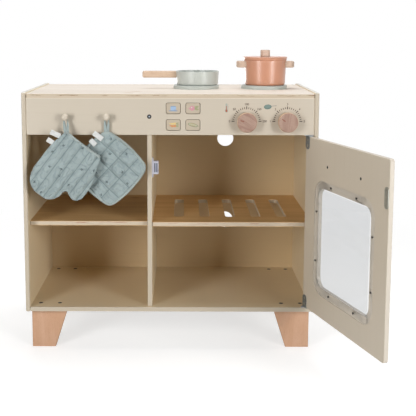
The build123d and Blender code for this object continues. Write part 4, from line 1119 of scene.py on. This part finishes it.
@dataclass
class Controls:
    """The knobs with their marks, the printed dials, the signs and the push buttons."""

    nodes: Nodes
    knobs: tuple[Knob, ...] = (
        Knob("left", 154.0, -33.0, 120.0, 0.95, (-13.5, 4.6, -6.2, 2.2)),
        Knob("right", 236.2, 82.0, 60.0, 0.75, (-12.8, 7.6, -6.0, 2.6)),
    )
    knob_face: float = -9.3
    knob_height: float = 480.0
    mark_width: float = 2.0
    dial_height: float = 481.0
    ticks: int = 20
    major_every: int = 5
    major: tuple[float, float, float] = (24.2, 30.2, 1.8)
    minor: tuple[float, float, float] = (25.0, 28.8, 1.35)
    number_reach: float = 34.4
    number_size: float = 6.1
    long_number: float = 0.9
    digit: float = 0.6
    thermometer: tuple[float, float, float] = (113.3, 501.8, 517.0)
    pan: tuple[float, float] = (196.4, 510.2)
    tile_face: float = 13.6
    tile_centre: tuple[float, float] = (26.0, 490.0)
    tile_pitch: tuple[float, float] = (39.75, 33.7)

    def dial(self, name: str, centre: float, labels: Sequence[str]) -> None:
        """Prints a half ring of ticks with its numbers."""
        sheet = FlatPrint(FASCIA_FRONT)
        for step in range(self.ticks + 1):
            angle = math.pi * (1 - step / self.ticks)
            inner, outer, width = self.minor if step % self.major_every else self.major
            (x0, z0), (x1, z1) = (
                (centre + reach * math.cos(angle), self.dial_height + reach * math.sin(angle))
                for reach in (inner, outer)
            )
            sheet.bar(x0, z0, x1, z1, width, Ink.TICK)
        for index, label in enumerate(labels):
            angle = math.pi * (1 - index / (len(labels) - 1))
            at_end = index in (0, len(labels) - 1)
            reach = self.number_reach + (self.long_number if len(label) > 2 and at_end else 0.0)
            x = centre + (reach + self.digit * (len(label) - 1)) * math.cos(angle)
            z = self.dial_height + reach * math.sin(angle)
            sheet.number(label, x, z, self.number_size, Ink.NUMBER)
        sheet.finish(name, "cabinet")

    def signs(self) -> None:
        """Prints a thermometer for the oven dial and a pan for the ring dial."""
        sheet = FlatPrint(FASCIA_FRONT)
        x, low, high = self.thermometer
        sheet.bar(x, low, x, high, 3.6, Ink.STEM)
        sheet.disc(x, low, 3.3, 3.3, Ink.STEM)
        sheet.bar(x, low, x, high - 5.2, 1.2, Ink.RED, layer=1)
        sheet.disc(x, low, 2.1, 2.1, Ink.RED, layer=2)
        for step in (1, 2, 3):
            sheet.bar(x + 2.5, high - 3.0 * step, x + 4.2, high - 3.0 * step, 0.6, Ink.GREY)
        sheet.finish("thermometer_sign", "cabinet")
        sheet = FlatPrint(FASCIA_FRONT)
        x, z = self.pan
        sheet.disc(x, z, 7.8, 4.9, Ink.TEAL_DEEP, turn=4)
        sheet.disc(x, z + 0.8, 6.3, 3.4, Ink.TEAL, turn=4, layer=1)
        sheet.bar(x + 7.0, z + 1.4, x + 18.0, z + 2.6, 1.2, Ink.GREY)
        sheet.finish("pan_sign", "cabinet")

    def knob(self, knob: Knob) -> None:
        """Finishes a knob and burns its pointer mark into it."""
        middle = place(knob.centre, self.knob_face, self.knob_height)
        # front= paints the knob's sides paler as a painted highlight
        wood = SolidBeech("#AC9080", "#977668", "#825F51", knob.bands, knob.contrast, front=middle.y)
        grain = wood.build(f"beech_{knob.side}_knob", Axis.X, knob.lean, middle)
        dress(self.nodes, [knob.side + "_knob"], grain)
        steel = Metal("#A7A9AD", "#7F8287", 0.32).build(f"zinc_{knob.side}_knob_bolt")
        dress(self.nodes, [knob.side + "_knob_bolt"], steel)
        sheet = FlatPrint(self.knob_face, 0.08)
        x0, z0, x1, z1 = knob.mark
        x, z = knob.centre, self.knob_height
        sheet.bar(x + x0, z + z0, x + x1, z + z1, self.mark_width, Ink.BURN)
        sheet.finish(knob.side + "_knob_mark", knob.side + "_knob", "solid_beech")

    def _cup(self, sheet: FlatPrint, x: float, z: float) -> None:
        """Draws a cup on its saucer."""
        sheet.ring(x + 6.0, z + 0.4, 3.4, 1.2, Ink.BLUE_DEEP)
        sheet.bar(x, z - 4.0, x, z + 4.4, 11.6, Ink.BLUE, layer=1)
        sheet.bar(x - 5.2, z + 3.6, x + 5.2, z + 3.6, 1.4, Ink.BLUE_DEEP, layer=2)
        sheet.bar(x - 8.6, z - 5.0, x + 8.6, z - 5.0, 1.7, Ink.BLUE_DEEP, layer=1)

    def _radish(self, sheet: FlatPrint, x: float, z: float) -> None:
        """Draws a radish with its leaves."""
        sheet.disc(x + 6.4, z + 2.4, 5.2, 2.3, Ink.LEAF, turn=18)
        sheet.disc(x + 6.6, z - 1.6, 5.0, 2.1, Ink.LEAF, turn=-14)
        sheet.disc(x - 7.4, z - 0.6, 4.0, 1.0, Ink.PINK, turn=6, sides=3)
        sheet.disc(x - 1.6, z, 5.2, 4.8, Ink.PINK, layer=1)
        sheet.disc(x - 2.8, z + 1.6, 1.6, 1.1, Ink.SHINE, layer=2)

    def _carrots(self, sheet: FlatPrint, x: float, z: float) -> None:
        """Draws two carrots side by side."""
        for drop, ink, turn in ((2.6, Ink.YELLOW, 184), (-2.2, Ink.ORANGE, 176)):
            sheet.disc(x - 1.6, z + drop, 8.6, 2.9, ink, turn=turn, sides=3, layer=1)
            sheet.disc(x + 3.4, z + drop, 2.2, 2.4, ink, layer=2)
            sheet.disc(x + 8.0, z + drop + 1.0, 3.3, 0.9, Ink.LEAF, turn=16)
            sheet.disc(x + 8.0, z + drop - 0.8, 3.3, 0.9, Ink.LEAF, turn=-12)

    def _pod(self, sheet: FlatPrint, x: float, z: float) -> None:
        """Draws an open pea pod."""
        sheet.disc(x, z, 10.6, 3.8, Ink.OLIVE, turn=-14)
        sheet.disc(x, z + 0.4, 8.6, 2.4, Ink.CRUST, turn=-14, layer=1)
        for step in (-1.5, -0.5, 0.5, 1.5):
            sheet.disc(x + 4.1 * step, z - 1.02 * step + 0.3, 1.9, 1.9, Ink.PEA, layer=2, sides=20)
        sheet.bar(x + 9.6, z - 2.4, x + 12.2, z - 2.6, 0.9, Ink.OLIVE)

    def buttons(self) -> None:
        """Finishes the tiles and prints a motif on each."""
        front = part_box("upper_left_button")[0].y
        # the tiles' sides are painted dark as painted shade in the gaps round them
        coat = SatinCoat("#BBAE9B", "#B3A692", "#C8BDAE", rough=0.48, coat=0.05, front=front)
        paint = coat.build("tile_paint")
        for name, side, row, draw in (
            ("upper_left", -0.5, 0.5, self._cup), ("upper_right", 0.5, 0.5, self._radish),
            ("lower_left", -0.5, -0.5, self._carrots), ("lower_right", 0.5, -0.5, self._pod),
        ):
            dress(self.nodes, [name + "_button"], paint)
            sheet = FlatPrint(self.tile_face, 0.06)
            x, z = (c + p * way for c, p, way in zip(self.tile_centre, self.tile_pitch, (side, row)))
            draw(sheet, x, z)
            sheet.finish(name + "_motif", name + "_button", "button_face")

    def build(self) -> None:
        """Builds all the controls."""
        self.dial("heat_dial", self.knobs[0].centre, ("0", "50", "100", "150", "200"))
        self.dial("ring_dial", self.knobs[1].centre, ("1", "2", "3", "4", "5"))
        self.signs()
        for knob in self.knobs:
            self.knob(knob)
        self.buttons()


@dataclass
class Cookware:
    """The pan, the pot and its lid."""

    nodes: Nodes

    def build(self) -> None:
        """Finishes the enamel and the wood of the cookware."""
        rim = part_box("pan_body")[1].z
        pan = SatinCoat("#BABFBA", "#B0B5AE", "#A6B2AC", rough=0.30, coat=0.35, rims=(rim,))
        dress(self.nodes, ["pan_body"], pan.build("enamel_pan"))
        low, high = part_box("pot_lid")
        pot = SatinCoat("#C68E72", "#BB8266", "#DFAF99", rough=0.30, coat=0.42, rims=(low.z, high.z))
        dress(self.nodes, ["pot_body", "pot_lid"], pot.build("enamel_pot"))
        for node, grain, shades in (
            ("pan_handle", Axis.X, ("#D0B69E", "#C2A58B", "#A48268")),
            ("pot_ears", Axis.Y, ("#CAB29F", "#BA9E89", "#9C7C67")),
            ("lid_knob", Axis.Z, ("#D4BDAB", "#C5AA96", "#A58671")),
        ):
            dress(self.nodes, [node], SolidBeech(*shades, 60.0, 0.45).build("beech_" + node, grain))


@dataclass(frozen=True)
class Bend:
    """A point of a cut line: where it is, in millimetres, and whether it is a sharp corner."""

    u: float
    v: float
    sharp: bool = False


class Outline:
    """A closed or open line on the cloth, in millimetres."""

    def __init__(self, points: Sequence[Bend], closed: bool = True) -> None:
        """Keeps the line's points."""
        self.points = list(points)
        self.closed = closed

    @classmethod
    def rounded_square(cls, side: float, radius: float) -> "Outline":
        """Gives a square with rounded corners, each drawn through three points."""
        half, inner = side / 2, side / 2 - radius
        reach = inner + radius * math.sqrt(0.5)
        made = []
        for a, b in ((1, 1), (-1, 1), (-1, -1), (1, -1)):
            corner = [(half * a, inner * b), (reach * a, reach * b), (inner * a, half * b)]
            made += corner if a * b > 0 else corner[::-1]
        return cls([Bend(u, v) for u, v in made])

    def curve(self, thickness: float = 0.0, tube: float = 0.0) -> bpy.types.Mesh:
        """Draws the line as a filled cut or as a tube.

        Args:
            thickness: the thickness of a filled cut, in millimetres.
            tube: the radius of a tube along the line, in millimetres.

        Returns:
            The mesh, in metres, with u, v and out of the cloth as X, Y and Z.
        """
        data = bpy.data.curves.new("cut", "CURVE")
        data.dimensions = "3D" if tube else "2D"
        data.fill_mode = "FULL" if tube else "BOTH"
        data.extrude, data.bevel_depth, data.bevel_resolution = thickness / 2 * MM, tube * MM, 4
        data.resolution_u = 10
        data.use_fill_caps = True
        spline = data.splines.new("BEZIER")
        spline.bezier_points.add(len(self.points) - 1)
        spline.use_cyclic_u = self.closed
        for knot, bend in zip(spline.bezier_points, self.points):
            knot.co = (bend.u * MM, bend.v * MM, 0.0)
            knot.handle_left_type = knot.handle_right_type = "VECTOR" if bend.sharp else "AUTO"
        holder = link("cut", data)
        bpy.context.view_layer.update()
        mesh = settled(holder)
        bpy.data.objects.remove(holder)
        bpy.data.curves.remove(data)
        return mesh

    def line(self) -> list[Vector]:
        """Gives the drawn line as close points, in millimetres."""
        mesh = self.curve()
        faces = Counter(key for polygon in mesh.polygons for key in polygon.edge_keys)
        rim = [edge for edge in mesh.edges if faces[tuple(sorted(edge.vertices))] == 1]
        points = [mesh.vertices[i].co.to_2d() / MM for edge in rim for i in edge.vertices]
        bpy.data.meshes.remove(mesh)
        return points


@dataclass
class Hanging:
    """Where a quilted piece hangs: its own origin, its tilt and the body that it rides on."""

    origin: tuple[float, float, float]
    tilt: float
    body: str

    def matrix(self) -> Matrix:
        """Gives the matrix from the cloth's own directions to the row frame."""
        angle = math.radians(self.tilt)
        cos, sin = math.cos(angle), math.sin(angle)
        turn = Matrix(((cos, sin, 0, 0), (0, 0, -1, 0), (-sin, cos, 0, 0), (0, 0, 0, 1)))
        return Matrix.Translation(place(*self.origin)) @ turn


@dataclass
class Quilting:
    """Makes quilted padding: cut, remeshed, swollen between its seams, creased and hung."""

    hanging: Hanging
    outline: Outline
    thickness: float
    layout: Layout
    pitch: float
    start: float = 0.0
    voxel: float = 2.3
    fullness: float = 0.8
    frames: int = 20
    seam_hold: float = 1.3
    rim_hold: float = 1.6
    seam_puff: float = 0.30
    rim_puff: float = 0.35
    swelling: float = 0.20
    crease: float = 0.50
    pucker: float = 0.36
    fold: float = 0.85
    run: float = 0.9
    sewn_edge: Callable[[float, float], bool] = lambda u, v: True

    def seam_depth(self, u: float, v: float) -> float:
        """Gives the distance to the nearest quilting seam, in millimetres."""
        ways = (u, v) if self.layout is Layout.SQUARES else (u,)
        return min(abs(((way - self.start) / self.pitch + 40.5) % 1 - 0.5) * self.pitch for way in ways)

    def swell(self, piece: bpy.types.Object, pins: Sequence[int]) -> None:
        """Blows the padding up between its pinned seams and keeps the result.

        Args:
            piece: the padding.
            pins: the numbers of the vertices that the seams hold.
        """
        group = piece.vertex_groups.new(name="seams")
        group.add(list(pins), 1.0, "REPLACE")
        before = [v.co.copy() for v in piece.data.vertices]
        cloth = piece.modifiers.new("swell", "CLOTH")
        settings = cloth.settings
        settings.quality, settings.mass = 6, 0.15
        settings.tension_stiffness = settings.compression_stiffness = 12.0
        settings.shear_stiffness, settings.bending_stiffness = 6.0, 0.25
        settings.use_pressure, settings.uniform_pressure_force = True, 4.0
        settings.shrink_min = -0.05
        settings.vertex_group_mass = group.name
        settings.effector_weights.gravity = 0.0
        cloth.point_cache.frame_start, cloth.point_cache.frame_end = 1, self.frames
        scene = bpy.context.scene
        for frame in range(1, self.frames + 1):
            scene.frame_set(frame)
        result = settled(piece)
        piece.modifiers.clear()
        limit = self.swelling * self.thickness * MM
        for vertex, start in zip(result.vertices, before):
            moved = vertex.co - start
            if moved.length > limit:
                vertex.co = start + moved * (limit / moved.length)
        piece.data = result
        scene.frame_set(1)

    def relief(self, u: float, v: float, seam: float, side: float) -> float:
        """Gives how far creases, puckers and folds lift the cloth on one side, in millimetres."""
        crease = noise.noise(Vector((u * 0.055, v * 0.14, 3.0 * side)))
        crease += 0.3 * noise.noise(Vector((u * 0.12, v * 0.22, 9.0)))
        pucker = noise.noise(Vector((seam * 0.10, v * 0.42 + u * 0.1, 5.0 * side))) * math.exp(-seam / 3.5)
        run = noise.noise(Vector(((u + 0.6 * v) * 0.062, (v - 0.5 * u) * 0.024, 7.0 * side)))
        fold = 1.0 - smooth_step(0.0, 0.15, abs(run))
        return self.crease * crease + self.pucker * pucker - self.fold * fold + self.run * run

    def pad(self, name: str, bulge: Callable[[float, float, float], float]) -> bpy.types.Object:
        """Makes one padded layer.

        Args:
            name: the piece's name.
            bulge: gives how far the layer stands out at a place and depth from its rim.

        Returns:
            The padding, hung in its place but not yet riding.
        """
        piece = link(name, self.outline.curve(thickness=self.thickness * self.fullness))
        remesh = piece.modifiers.new("even", "REMESH")
        remesh.mode, remesh.voxel_size, remesh.use_smooth_shade = "VOXEL", self.voxel * MM, True
        bpy.context.view_layer.update()
        piece.data = settled(piece)
        piece.modifiers.clear()
        rim = [p for p in self.outline.line() if self.sewn_edge(p.x, p.y)]
        places, pins = [], []
        for vertex in piece.data.vertices:
            u, v = vertex.co.x / MM, vertex.co.y / MM
            here = Vector((u, v))
            depth = min((here - p).length for p in rim)
            seam = self.seam_depth(u, v)
            places.append((u, v, depth, seam))
            puff = self.seam_puff + (1 - self.seam_puff) * smooth_step(0.0, 5.5, seam)
            vertex.co.z *= puff * (self.rim_puff + (1 - self.rim_puff) * smooth_step(0.0, 6.0, depth))
            if seam < self.seam_hold or depth < self.rim_hold:
                pins.append(vertex.index)
        self.swell(piece, pins)
        for vertex, (u, v, depth, seam) in zip(piece.data.vertices, places):
            side = 1.0 if vertex.co.z > 0 else -1.0
            vertex.co.z += side * MM * self.relief(u, v, seam, side) * smooth_step(0.0, 5.0, depth)
            vertex.co.z += bulge(u, v, depth) * MM
        self.cut_marks(piece.data)
        refine(piece)
        piece.data.transform(self.hanging.matrix())
        smoothed(piece.data)
        return piece

    def binding(
        self, name: str, line: Outline, width: float, half: float, out: float,
        sag: Callable[[float, float], float] = lambda u, v: 0.0,
    ) -> bpy.types.Object:
        """Folds a binding tape over an edge.

        Args:
            name: the piece's name.
            line: the edge.
            width: the half width of the binding across the edge.
            half: its half thickness.
            out: how far it stands out of the cloth's middle.
            sag: gives how far the whole cloth stands out at a place.

        Returns:
            The binding, hung in its place but not yet riding.
        """
        mesh = line.curve(tube=width)
        for vertex in mesh.vertices:
            vertex.co.z *= half / width
            u, v = vertex.co.x / MM, vertex.co.y / MM
            vertex.co.z += (out + sag(u, v) + 0.25 * noise.noise(Vector((u * 0.2, v * 0.2, 1.0)))) * MM
        self.cut_marks(mesh)
        mesh.transform(self.hanging.matrix())
        return link(name, smoothed(mesh))

    @staticmethod
    def cut_marks(mesh: bpy.types.Mesh) -> None:
        """Keeps each point's place on the flat cloth as the mesh's UV map."""
        layer = mesh.uv_layers.new(name="cut")
        for loop in mesh.loops:
            point = mesh.vertices[loop.vertex_index].co
            layer.data[loop.index].uv = (point.x / (CLOTH_UNIT * MM), point.y / (CLOTH_UNIT * MM))


@dataclass
class Strap:
    """The folded tape loop that goes round a peg's stem."""

    name: str
    body: str
    stands_for: str
    peg: tuple[float, float]
    foot: tuple[float, float, float]
    ring_y: float = 8.2
    ring_radius: float = 4.3
    tape_width: float = 6.4
    tape_thickness: float = 1.1
    spread: float = 2.3
    twist: float = 76.0
    lean: float = 0.12
    steps: int = 12
    ring_steps: int = 8

    def _side(self, side: int, up: float) -> tuple[Vector, Vector]:
        """Gives the tape's middle and the way of its width on one side, at a share of its height."""
        foot = Vector(self.foot) + Vector((side * self.spread, 0.0, 0.0))
        top = Vector((self.peg[0] + side * self.ring_radius, self.ring_y, self.peg[1]))
        ease = smooth_step(0.0, 1.0, up)
        rise = top - foot
        turn = math.radians(90 + side * self.twist * (1 - ease * ease))
        centre = foot + Vector((rise.x * up, rise.y * ease, rise.z * up))
        return centre, Vector((math.cos(turn), math.sin(turn), self.lean * (1 - ease)))

    def _ring(self, share: float) -> tuple[Vector, Vector]:
        """Gives the same on the way over the stem."""
        angle = math.pi * (1 - share)
        x, z = self.peg
        across, up = self.ring_radius * math.cos(angle), self.ring_radius * math.sin(angle)
        return Vector((x + across, self.ring_y, z + up)), Vector((0.0, 1.0, 0.0))

    def build(self, tape: bpy.types.Material) -> None:
        """Sweeps the tape from the cloth round the stem and back."""
        stations = [self._side(-1, step / self.steps) for step in range(self.steps)]
        stations += [self._ring(step / self.ring_steps) for step in range(self.ring_steps + 1)]
        stations += [self._side(1, 1 - step / self.steps) for step in range(1, self.steps + 1)]
        strides = [(after[0] - before[0]).length for before, after in zip(stations, stations[1:])]
        travelled = list(accumulate(strides, initial=0.0))
        work = bmesh.new()
        marks = work.loops.layers.uv.new("cut")
        last = len(stations) - 1
        made = bmesh.ops.create_grid(work, x_segments=1, y_segments=last, size=0.5)
        places = {vert: (round((vert.co.y + 0.5) * last), vert.co.x) for vert in made["verts"]}
        for face in work.faces:
            for loop in face.loops:
                row, side = places[loop.vert]
                loop[marks].uv = ((side + 0.5) * self.tape_width / CLOTH_UNIT, travelled[row] / CLOTH_UNIT)
        for vert, (row, side) in places.items():
            middle, way = stations[row]
            vert.co = (middle + way * (side * self.tape_width) + DRAWING_ORIGIN) * MM
        piece = adopt(link(self.name, smoothed(meshed(self.name, work))), self.body, "cotton_tape", tape)
        refine(piece, self.tape_thickness)
        refine(piece)
        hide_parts(self.stands_for)


@dataclass
class Tag:
    """A blank woven tag that is sewn into a seam."""

    name: str
    centre: tuple[float, float]
    turn: float
    length: float
    width: float
    out: float
    curl: float = 1.6
    thickness: float = 0.35

    def build(self, hanging: Hanging, cloth: bpy.types.Material, held_by: str) -> None:
        """Bends the tag, thickens it and hangs it beside its seam."""
        work = bmesh.new()
        marks = work.loops.layers.uv.new("cut")
        bmesh.ops.create_grid(work, x_segments=10, y_segments=6, size=0.5)
        bmesh.ops.scale(work, vec=(self.length, self.width, 1), verts=work.verts[:])
        for face in work.faces:
            for loop in face.loops:
                loop[marks].uv = (loop.vert.co.x / CLOTH_UNIT, loop.vert.co.y / CLOTH_UNIT)
        for vertex in work.verts:
            share = 0.5 - vertex.co.x / self.length
            ripple = 0.25 * noise.noise(Vector((vertex.co.x * 0.2, vertex.co.y * 0.2, self.length)))
            vertex.co.z = self.curl * share * share + ripple
        turn = Matrix.Rotation(math.radians(self.turn), 4, "Z")
        sewn = Matrix.Translation((*self.centre, self.out)) @ turn
        for matrix in (sewn, Matrix.Scale(MM, 4), hanging.matrix()):
            bmesh.ops.transform(work, matrix=matrix, verts=work.verts[:])
        piece = adopt(link(self.name, smoothed(meshed(self.name, work))), hanging.body, "cotton_tape", cloth)
        refine(piece, self.thickness)


@dataclass
class Textile:
    """What the mitt and the pot holder share: the trim, the tape loop and the tags."""

    hanging: Hanging
    slot: str = "quilted_cotton"

    def sew(self, piece: bpy.types.Object, cloth: bpy.types.Material, fill: float = 0.0) -> None:
        """Puts a padded layer or a binding on the body."""
        adopt(piece, self.hanging.body, self.slot, cloth)

    def trim(self) -> bpy.types.Material:
        """Makes the binding's plain cotton."""
        name = self.hanging.body + "_binding_cotton"
        return Cotton(colour="#AAB6B4", shade="#98A6A5", sprigs=False).build(name)

    def hang(self, stands_for: str, peg: tuple[float, float], foot: tuple[float, float, float]) -> None:
        """Makes the tape loop from its foot on the cloth round the peg's stem."""
        body = self.hanging.body
        tape = Ribbon("#A3B0AF", "#8B9A9A").build(body + "_tape")
        Strap(body + "_strap", body, stands_for, peg, foot).build(tape)

    def label(self, held_by: str, *tags: Tag) -> None:
        """Sews the blank tags on."""
        cloth = Ribbon("#D9DBDA", "#C6C9C8", 0.5).build(self.hanging.body + "_tag_cloth")
        for tag in tags:
            tag.build(self.hanging, cloth, held_by)


@dataclass
class OvenMitt(Textile):
    """The quilted mitt: two padded layers with an open, bound cuff, a loop and two tags."""

    hanging: Hanging = field(default_factory=lambda: Hanging((-208.7, -7.1, 463.0), 37.6, "mitt"))
    layer: float = 5.4
    gape: float = 3.6
    rim_gape: float = 0.9
    pitch: float = 19.0
    start: float = 44.25
    cuff: float = 88.5
    bends: tuple[Bend, ...] = (
        Bend(0, 0, True), Bend(-4.2, -22), Bend(-7, -42), Bend(-7.6, -75), Bend(-6.4, -104), Bend(5, -127.5),
        Bend(34, -137.5), Bend(58.5, -131.5), Bend(69.8, -114), Bend(74.2, -98), Bend(82, -101),
        Bend(97, -103.4), Bend(108.2, -92), Bend(109.5, -80), Bend(108.0, -61), Bend(98.5, -30),
        Bend(88.5, 0, True),
    )

    def stand(self, side: float, _u: float, _v: float, depth: float) -> float:
        """Stands a layer out from the other, least at the rim."""
        return side * (self.rim_gape + (self.gape - self.rim_gape) * smooth_step(0.0, 15.0, depth))

    def build(self) -> None:
        """Makes the mitt with all that is sewn to it."""
        cotton = Cotton(layout=Layout.CHANNELS, pitch=self.pitch, start=self.start).build("mitt_cotton")
        trim = self.trim()
        quilting = Quilting(
            self.hanging, Outline(self.bends), self.layer, Layout.CHANNELS, self.pitch, self.start,
            sewn_edge=lambda u, v: v < -0.4,
        )
        sides = (("front", 1.0), ("back", -1.0))
        layers = []
        for name, side in sides:
            layers.append(quilting.pad("mitt_" + name, partial(self.stand, side)))
            self.sew(layers[-1], cotton, fill=0.4)
        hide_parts("oven_mitt")
        for name, side in sides:
            edge = [Bend(1.6, -0.8), Bend(30, -2.0 + 0.5 * side), Bend(60, -1.8), Bend(self.cuff - 1.8, -0.8)]
            out = side * (self.gape + 0.1)
            self.sew(quilting.binding("mitt_cuff_" + name, Outline(edge, closed=False), 2.3, 2.7, out), trim)
        self.hang("mitt_loop", (-210.7, 490.0), (-206.7, -7.4, 459.0))
        self.label(
            "mitt_front", Tag("mitt_tag_long", (-12.4, -17.4), 12.0, 21.5, 10.2, 0.4),
            Tag("mitt_tag_short", (-12.2, -35.0), 4.0, 14.0, 10.0, 0.8),
        )


@dataclass
class PotHolder(Textile):
    """The quilted square with its binding, loop and tags."""

    hanging: Hanging = field(default_factory=lambda: Hanging((-125.2, 6.8, 384.6), -47.0, "holder"))
    side: float = 119.5
    corner: float = 20.0
    thickness: float = 7.6
    recess: float = 5.0
    pitch: float = 30.0
    insets: tuple[float, float] = (0.8, 2.8)

    def sag(self, u: float, v: float, _depth: float = 0.0) -> float:
        """Bends the part that hangs behind the mitt back, below the fascia."""
        behind = smooth_step(-14.0, -1.0, 0.901 * (v - 28.8) - 0.433 * (u - 50.2))
        return -self.recess * behind * (1 - smooth_step(32.0, 50.0, 0.731 * u + 0.682 * v))

    def build(self) -> None:
        """Makes the pot holder with all that is sewn to it."""
        cut, rim = (
            Outline.rounded_square(self.side - 2 * inset, self.corner - inset) for inset in self.insets
        )
        quilting = Quilting(self.hanging, cut, self.thickness, Layout.SQUARES, self.pitch)
        cotton = Cotton(layout=Layout.SQUARES, pitch=self.pitch).build("holder_cotton")
        pad = quilting.pad("holder_pad", self.sag)
        self.sew(pad, cotton, fill=0.45)
        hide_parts("pot_holder")
        self.sew(quilting.binding("holder_binding", rim, 2.9, 3.5, 0.0, self.sag), self.trim())
        self.hang("holder_loop", (-127.9, 490.0), (-127.9, 6.2, 459.5))
        self.label(
            "holder_pad", Tag("holder_tag_long", (35.4, 60.5), 96.0, 22.0, 10.8, 4.4),
            Tag("holder_tag_short", (19.0, 59.0), 88.0, 15.0, 10.2, 4.6),
        )


@dataclass(frozen=True)
class Softbox:
    """A lamp: where it is and what it aims at, its size, in metres, and its power, in watts."""

    name: str
    at: tuple[float, float, float]
    aim: tuple[float, float, float]
    size: tuple[float, float]
    power: float

    def build(self) -> None:
        """Hangs the lamp."""
        data = bpy.data.lights.new(self.name, "AREA")
        data.shape, data.energy = "RECTANGLE", self.power
        data.size, data.size_y = self.size
        lamp = link(self.name, data)
        lamp.location = self.at
        lamp.rotation_euler = (Vector(self.aim) - Vector(self.at)).to_track_quat("-Z", "Y").to_euler()


@dataclass
class Studio:
    """The pale floor, the plain soft light and the camera at the photograph's place."""

    camera_at: tuple[float, float, float] = (26.55, -1672.31, 663.23)
    yaw: float = -0.16
    pitch: float = 7.46
    roll: float = -0.09
    focal: float = 839.37
    centre: tuple[float, float] = (181.0, 140.0)
    sensor: float = 36.0
    floor_radius: float = 14.0
    fade: tuple[float, float] = (0.7, 1.5)
    shade: Colour = (0.55, 0.55, 0.55, 1.0)
    glow: float = 0.62
    backdrop: tuple[float, float] = (-0.1, 0.5)
    room: Colour = (1.0, 0.93, 0.82, 1.0)
    room_strength: float = 0.085
    lamps: tuple[Softbox, ...] = (
        Softbox("left_softbox", (-1.40, -1.74, 0.76), (0.0, 0.1, 0.32), (0.66, 1.1), 29.0),
        Softbox("right_softbox", (1.46, -1.74, 0.76), (0.0, 0.1, 0.32), (0.66, 1.1), 31.0),
        Softbox("top_softbox", (0.0, 0.42, 2.3), (0.0, 0.2, 0.5), (1.8, 1.3), 33.0),
        Softbox("back_softbox", (-0.5, 2.5, 0.27), (0.0, 0.3, 0.27), (2.2, 0.42), 14.0),
    )

    def camera(self) -> None:
        """Sets the camera."""
        yaw, pitch, roll = (math.radians(a) for a in (self.yaw, self.pitch, self.roll))
        ahead = Vector((math.sin(yaw) * math.cos(pitch), math.cos(yaw) * math.cos(pitch), -math.sin(pitch)))
        right = Vector((math.cos(yaw), -math.sin(yaw), 0.0))
        down = ahead.cross(right)
        across = right * math.cos(roll) + down * math.sin(roll)
        up = right * math.sin(roll) - down * math.cos(roll)
        data = bpy.data.cameras.new("view")
        data.sensor_width = self.sensor
        data.lens = self.focal / IMAGE_SIDE * self.sensor
        data.shift_x = (IMAGE_SIDE / 2 - self.centre[0]) / IMAGE_SIDE
        data.shift_y = (self.centre[1] - IMAGE_SIDE / 2) / IMAGE_SIDE
        data.clip_start, data.clip_end = 0.05, 60.0
        camera = link("view", data)
        turn = Matrix((across, up, -ahead)).transposed().to_4x4()
        camera.matrix_world = Matrix.Translation(place(*self.camera_at)) @ turn
        bpy.context.scene.camera = camera

    @staticmethod
    def rays(shader: Shader) -> list[Signal]:
        """Gives three signals: 1 for what the eye, a mirror or a clear sheet sees."""
        path = shader.node("ShaderNodeLightPath")
        kinds = ("Camera", "Glossy", "Transmission")
        return [Signal(shader, path.outputs[f"Is {kind} Ray"]) for kind in kinds]

    def floor(self) -> None:
        """Lays a pale floor that turns white away from the object and keeps its shadow."""
        work = bmesh.new()
        bmesh.ops.create_circle(work, cap_ends=True, segments=64, radius=self.floor_radius)
        floor = link("floor", meshed("floor", work))
        shader = Shader("studio_floor")
        at = shader.at()
        eye, shine, clear = self.rays(shader)
        ground = shader.mix(shader.clouds(at, 3.0) * 0.2, "#BCBAB6", "#B6B4B0")
        bare = shader.made("ShaderNodeBsdfDiffuse", None, {"Color": ground})
        shaded = shader.made("ShaderNodeBsdfDiffuse", None, {"Color": self.shade})
        glow = shader.made("ShaderNodeEmission", None, {"Color": WHITE, "Strength": self.glow})
        plain = shader.made("ShaderNodeEmission", None, {"Color": WHITE, "Strength": 1.0})
        both = shader.made("ShaderNodeAddShader", None, {0: shaded, 1: glow})
        away = shader.length(at).over(*self.fade)
        near = shader.made("ShaderNodeMixShader", None, {0: away, 1: both, 2: plain})
        seen = eye.highest(shine).highest(clear)
        shader.close(shader.made("ShaderNodeMixShader", None, {0: seen, 1: bare, 2: near}))
        floor.data.materials.append(shader.owner)

    def world(self) -> None:
        """Gives the eye a white surround, what shines a white backdrop and what is lit a dim room."""
        shader = Shader("studio", world=True)
        bpy.context.scene.world = shader.owner
        eye, shine, clear = self.rays(shader)
        behind = shader.parts(shader.made("ShaderNodeTexCoord", output="Generated"))[1].over(*self.backdrop)
        white = eye.highest(behind * shine).highest(clear)
        feeds = {"Color": self.room, "Strength": self.room_strength}
        lit = shader.made("ShaderNodeBackground", None, feeds)
        plain = shader.made("ShaderNodeBackground", None, {"Color": WHITE, "Strength": 1.0})
        shader.close(shader.made("ShaderNodeMixShader", None, {0: white, 1: lit, 2: plain}))

    def build(self) -> None:
        """Sets up the whole studio."""
        self.camera()
        self.floor()
        self.world()
        for lamp in self.lamps:
            lamp.build()
        view = bpy.context.scene.view_settings
        view.view_transform = "Standard"


def main() -> None:
    """Builds the kitchen's looks in order."""
    logging.basicConfig(level=logging.INFO, format="%(name)s: %(message)s")
    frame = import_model()
    find_origin()
    nodes = frame["nodes"]
    Studio().build()
    for part in (Cabinet(nodes), OvenDoor(nodes), Controls(nodes), Cookware(nodes), OvenMitt(), PotHolder()):
        part.build()


if __name__ == "__main__":
    main()
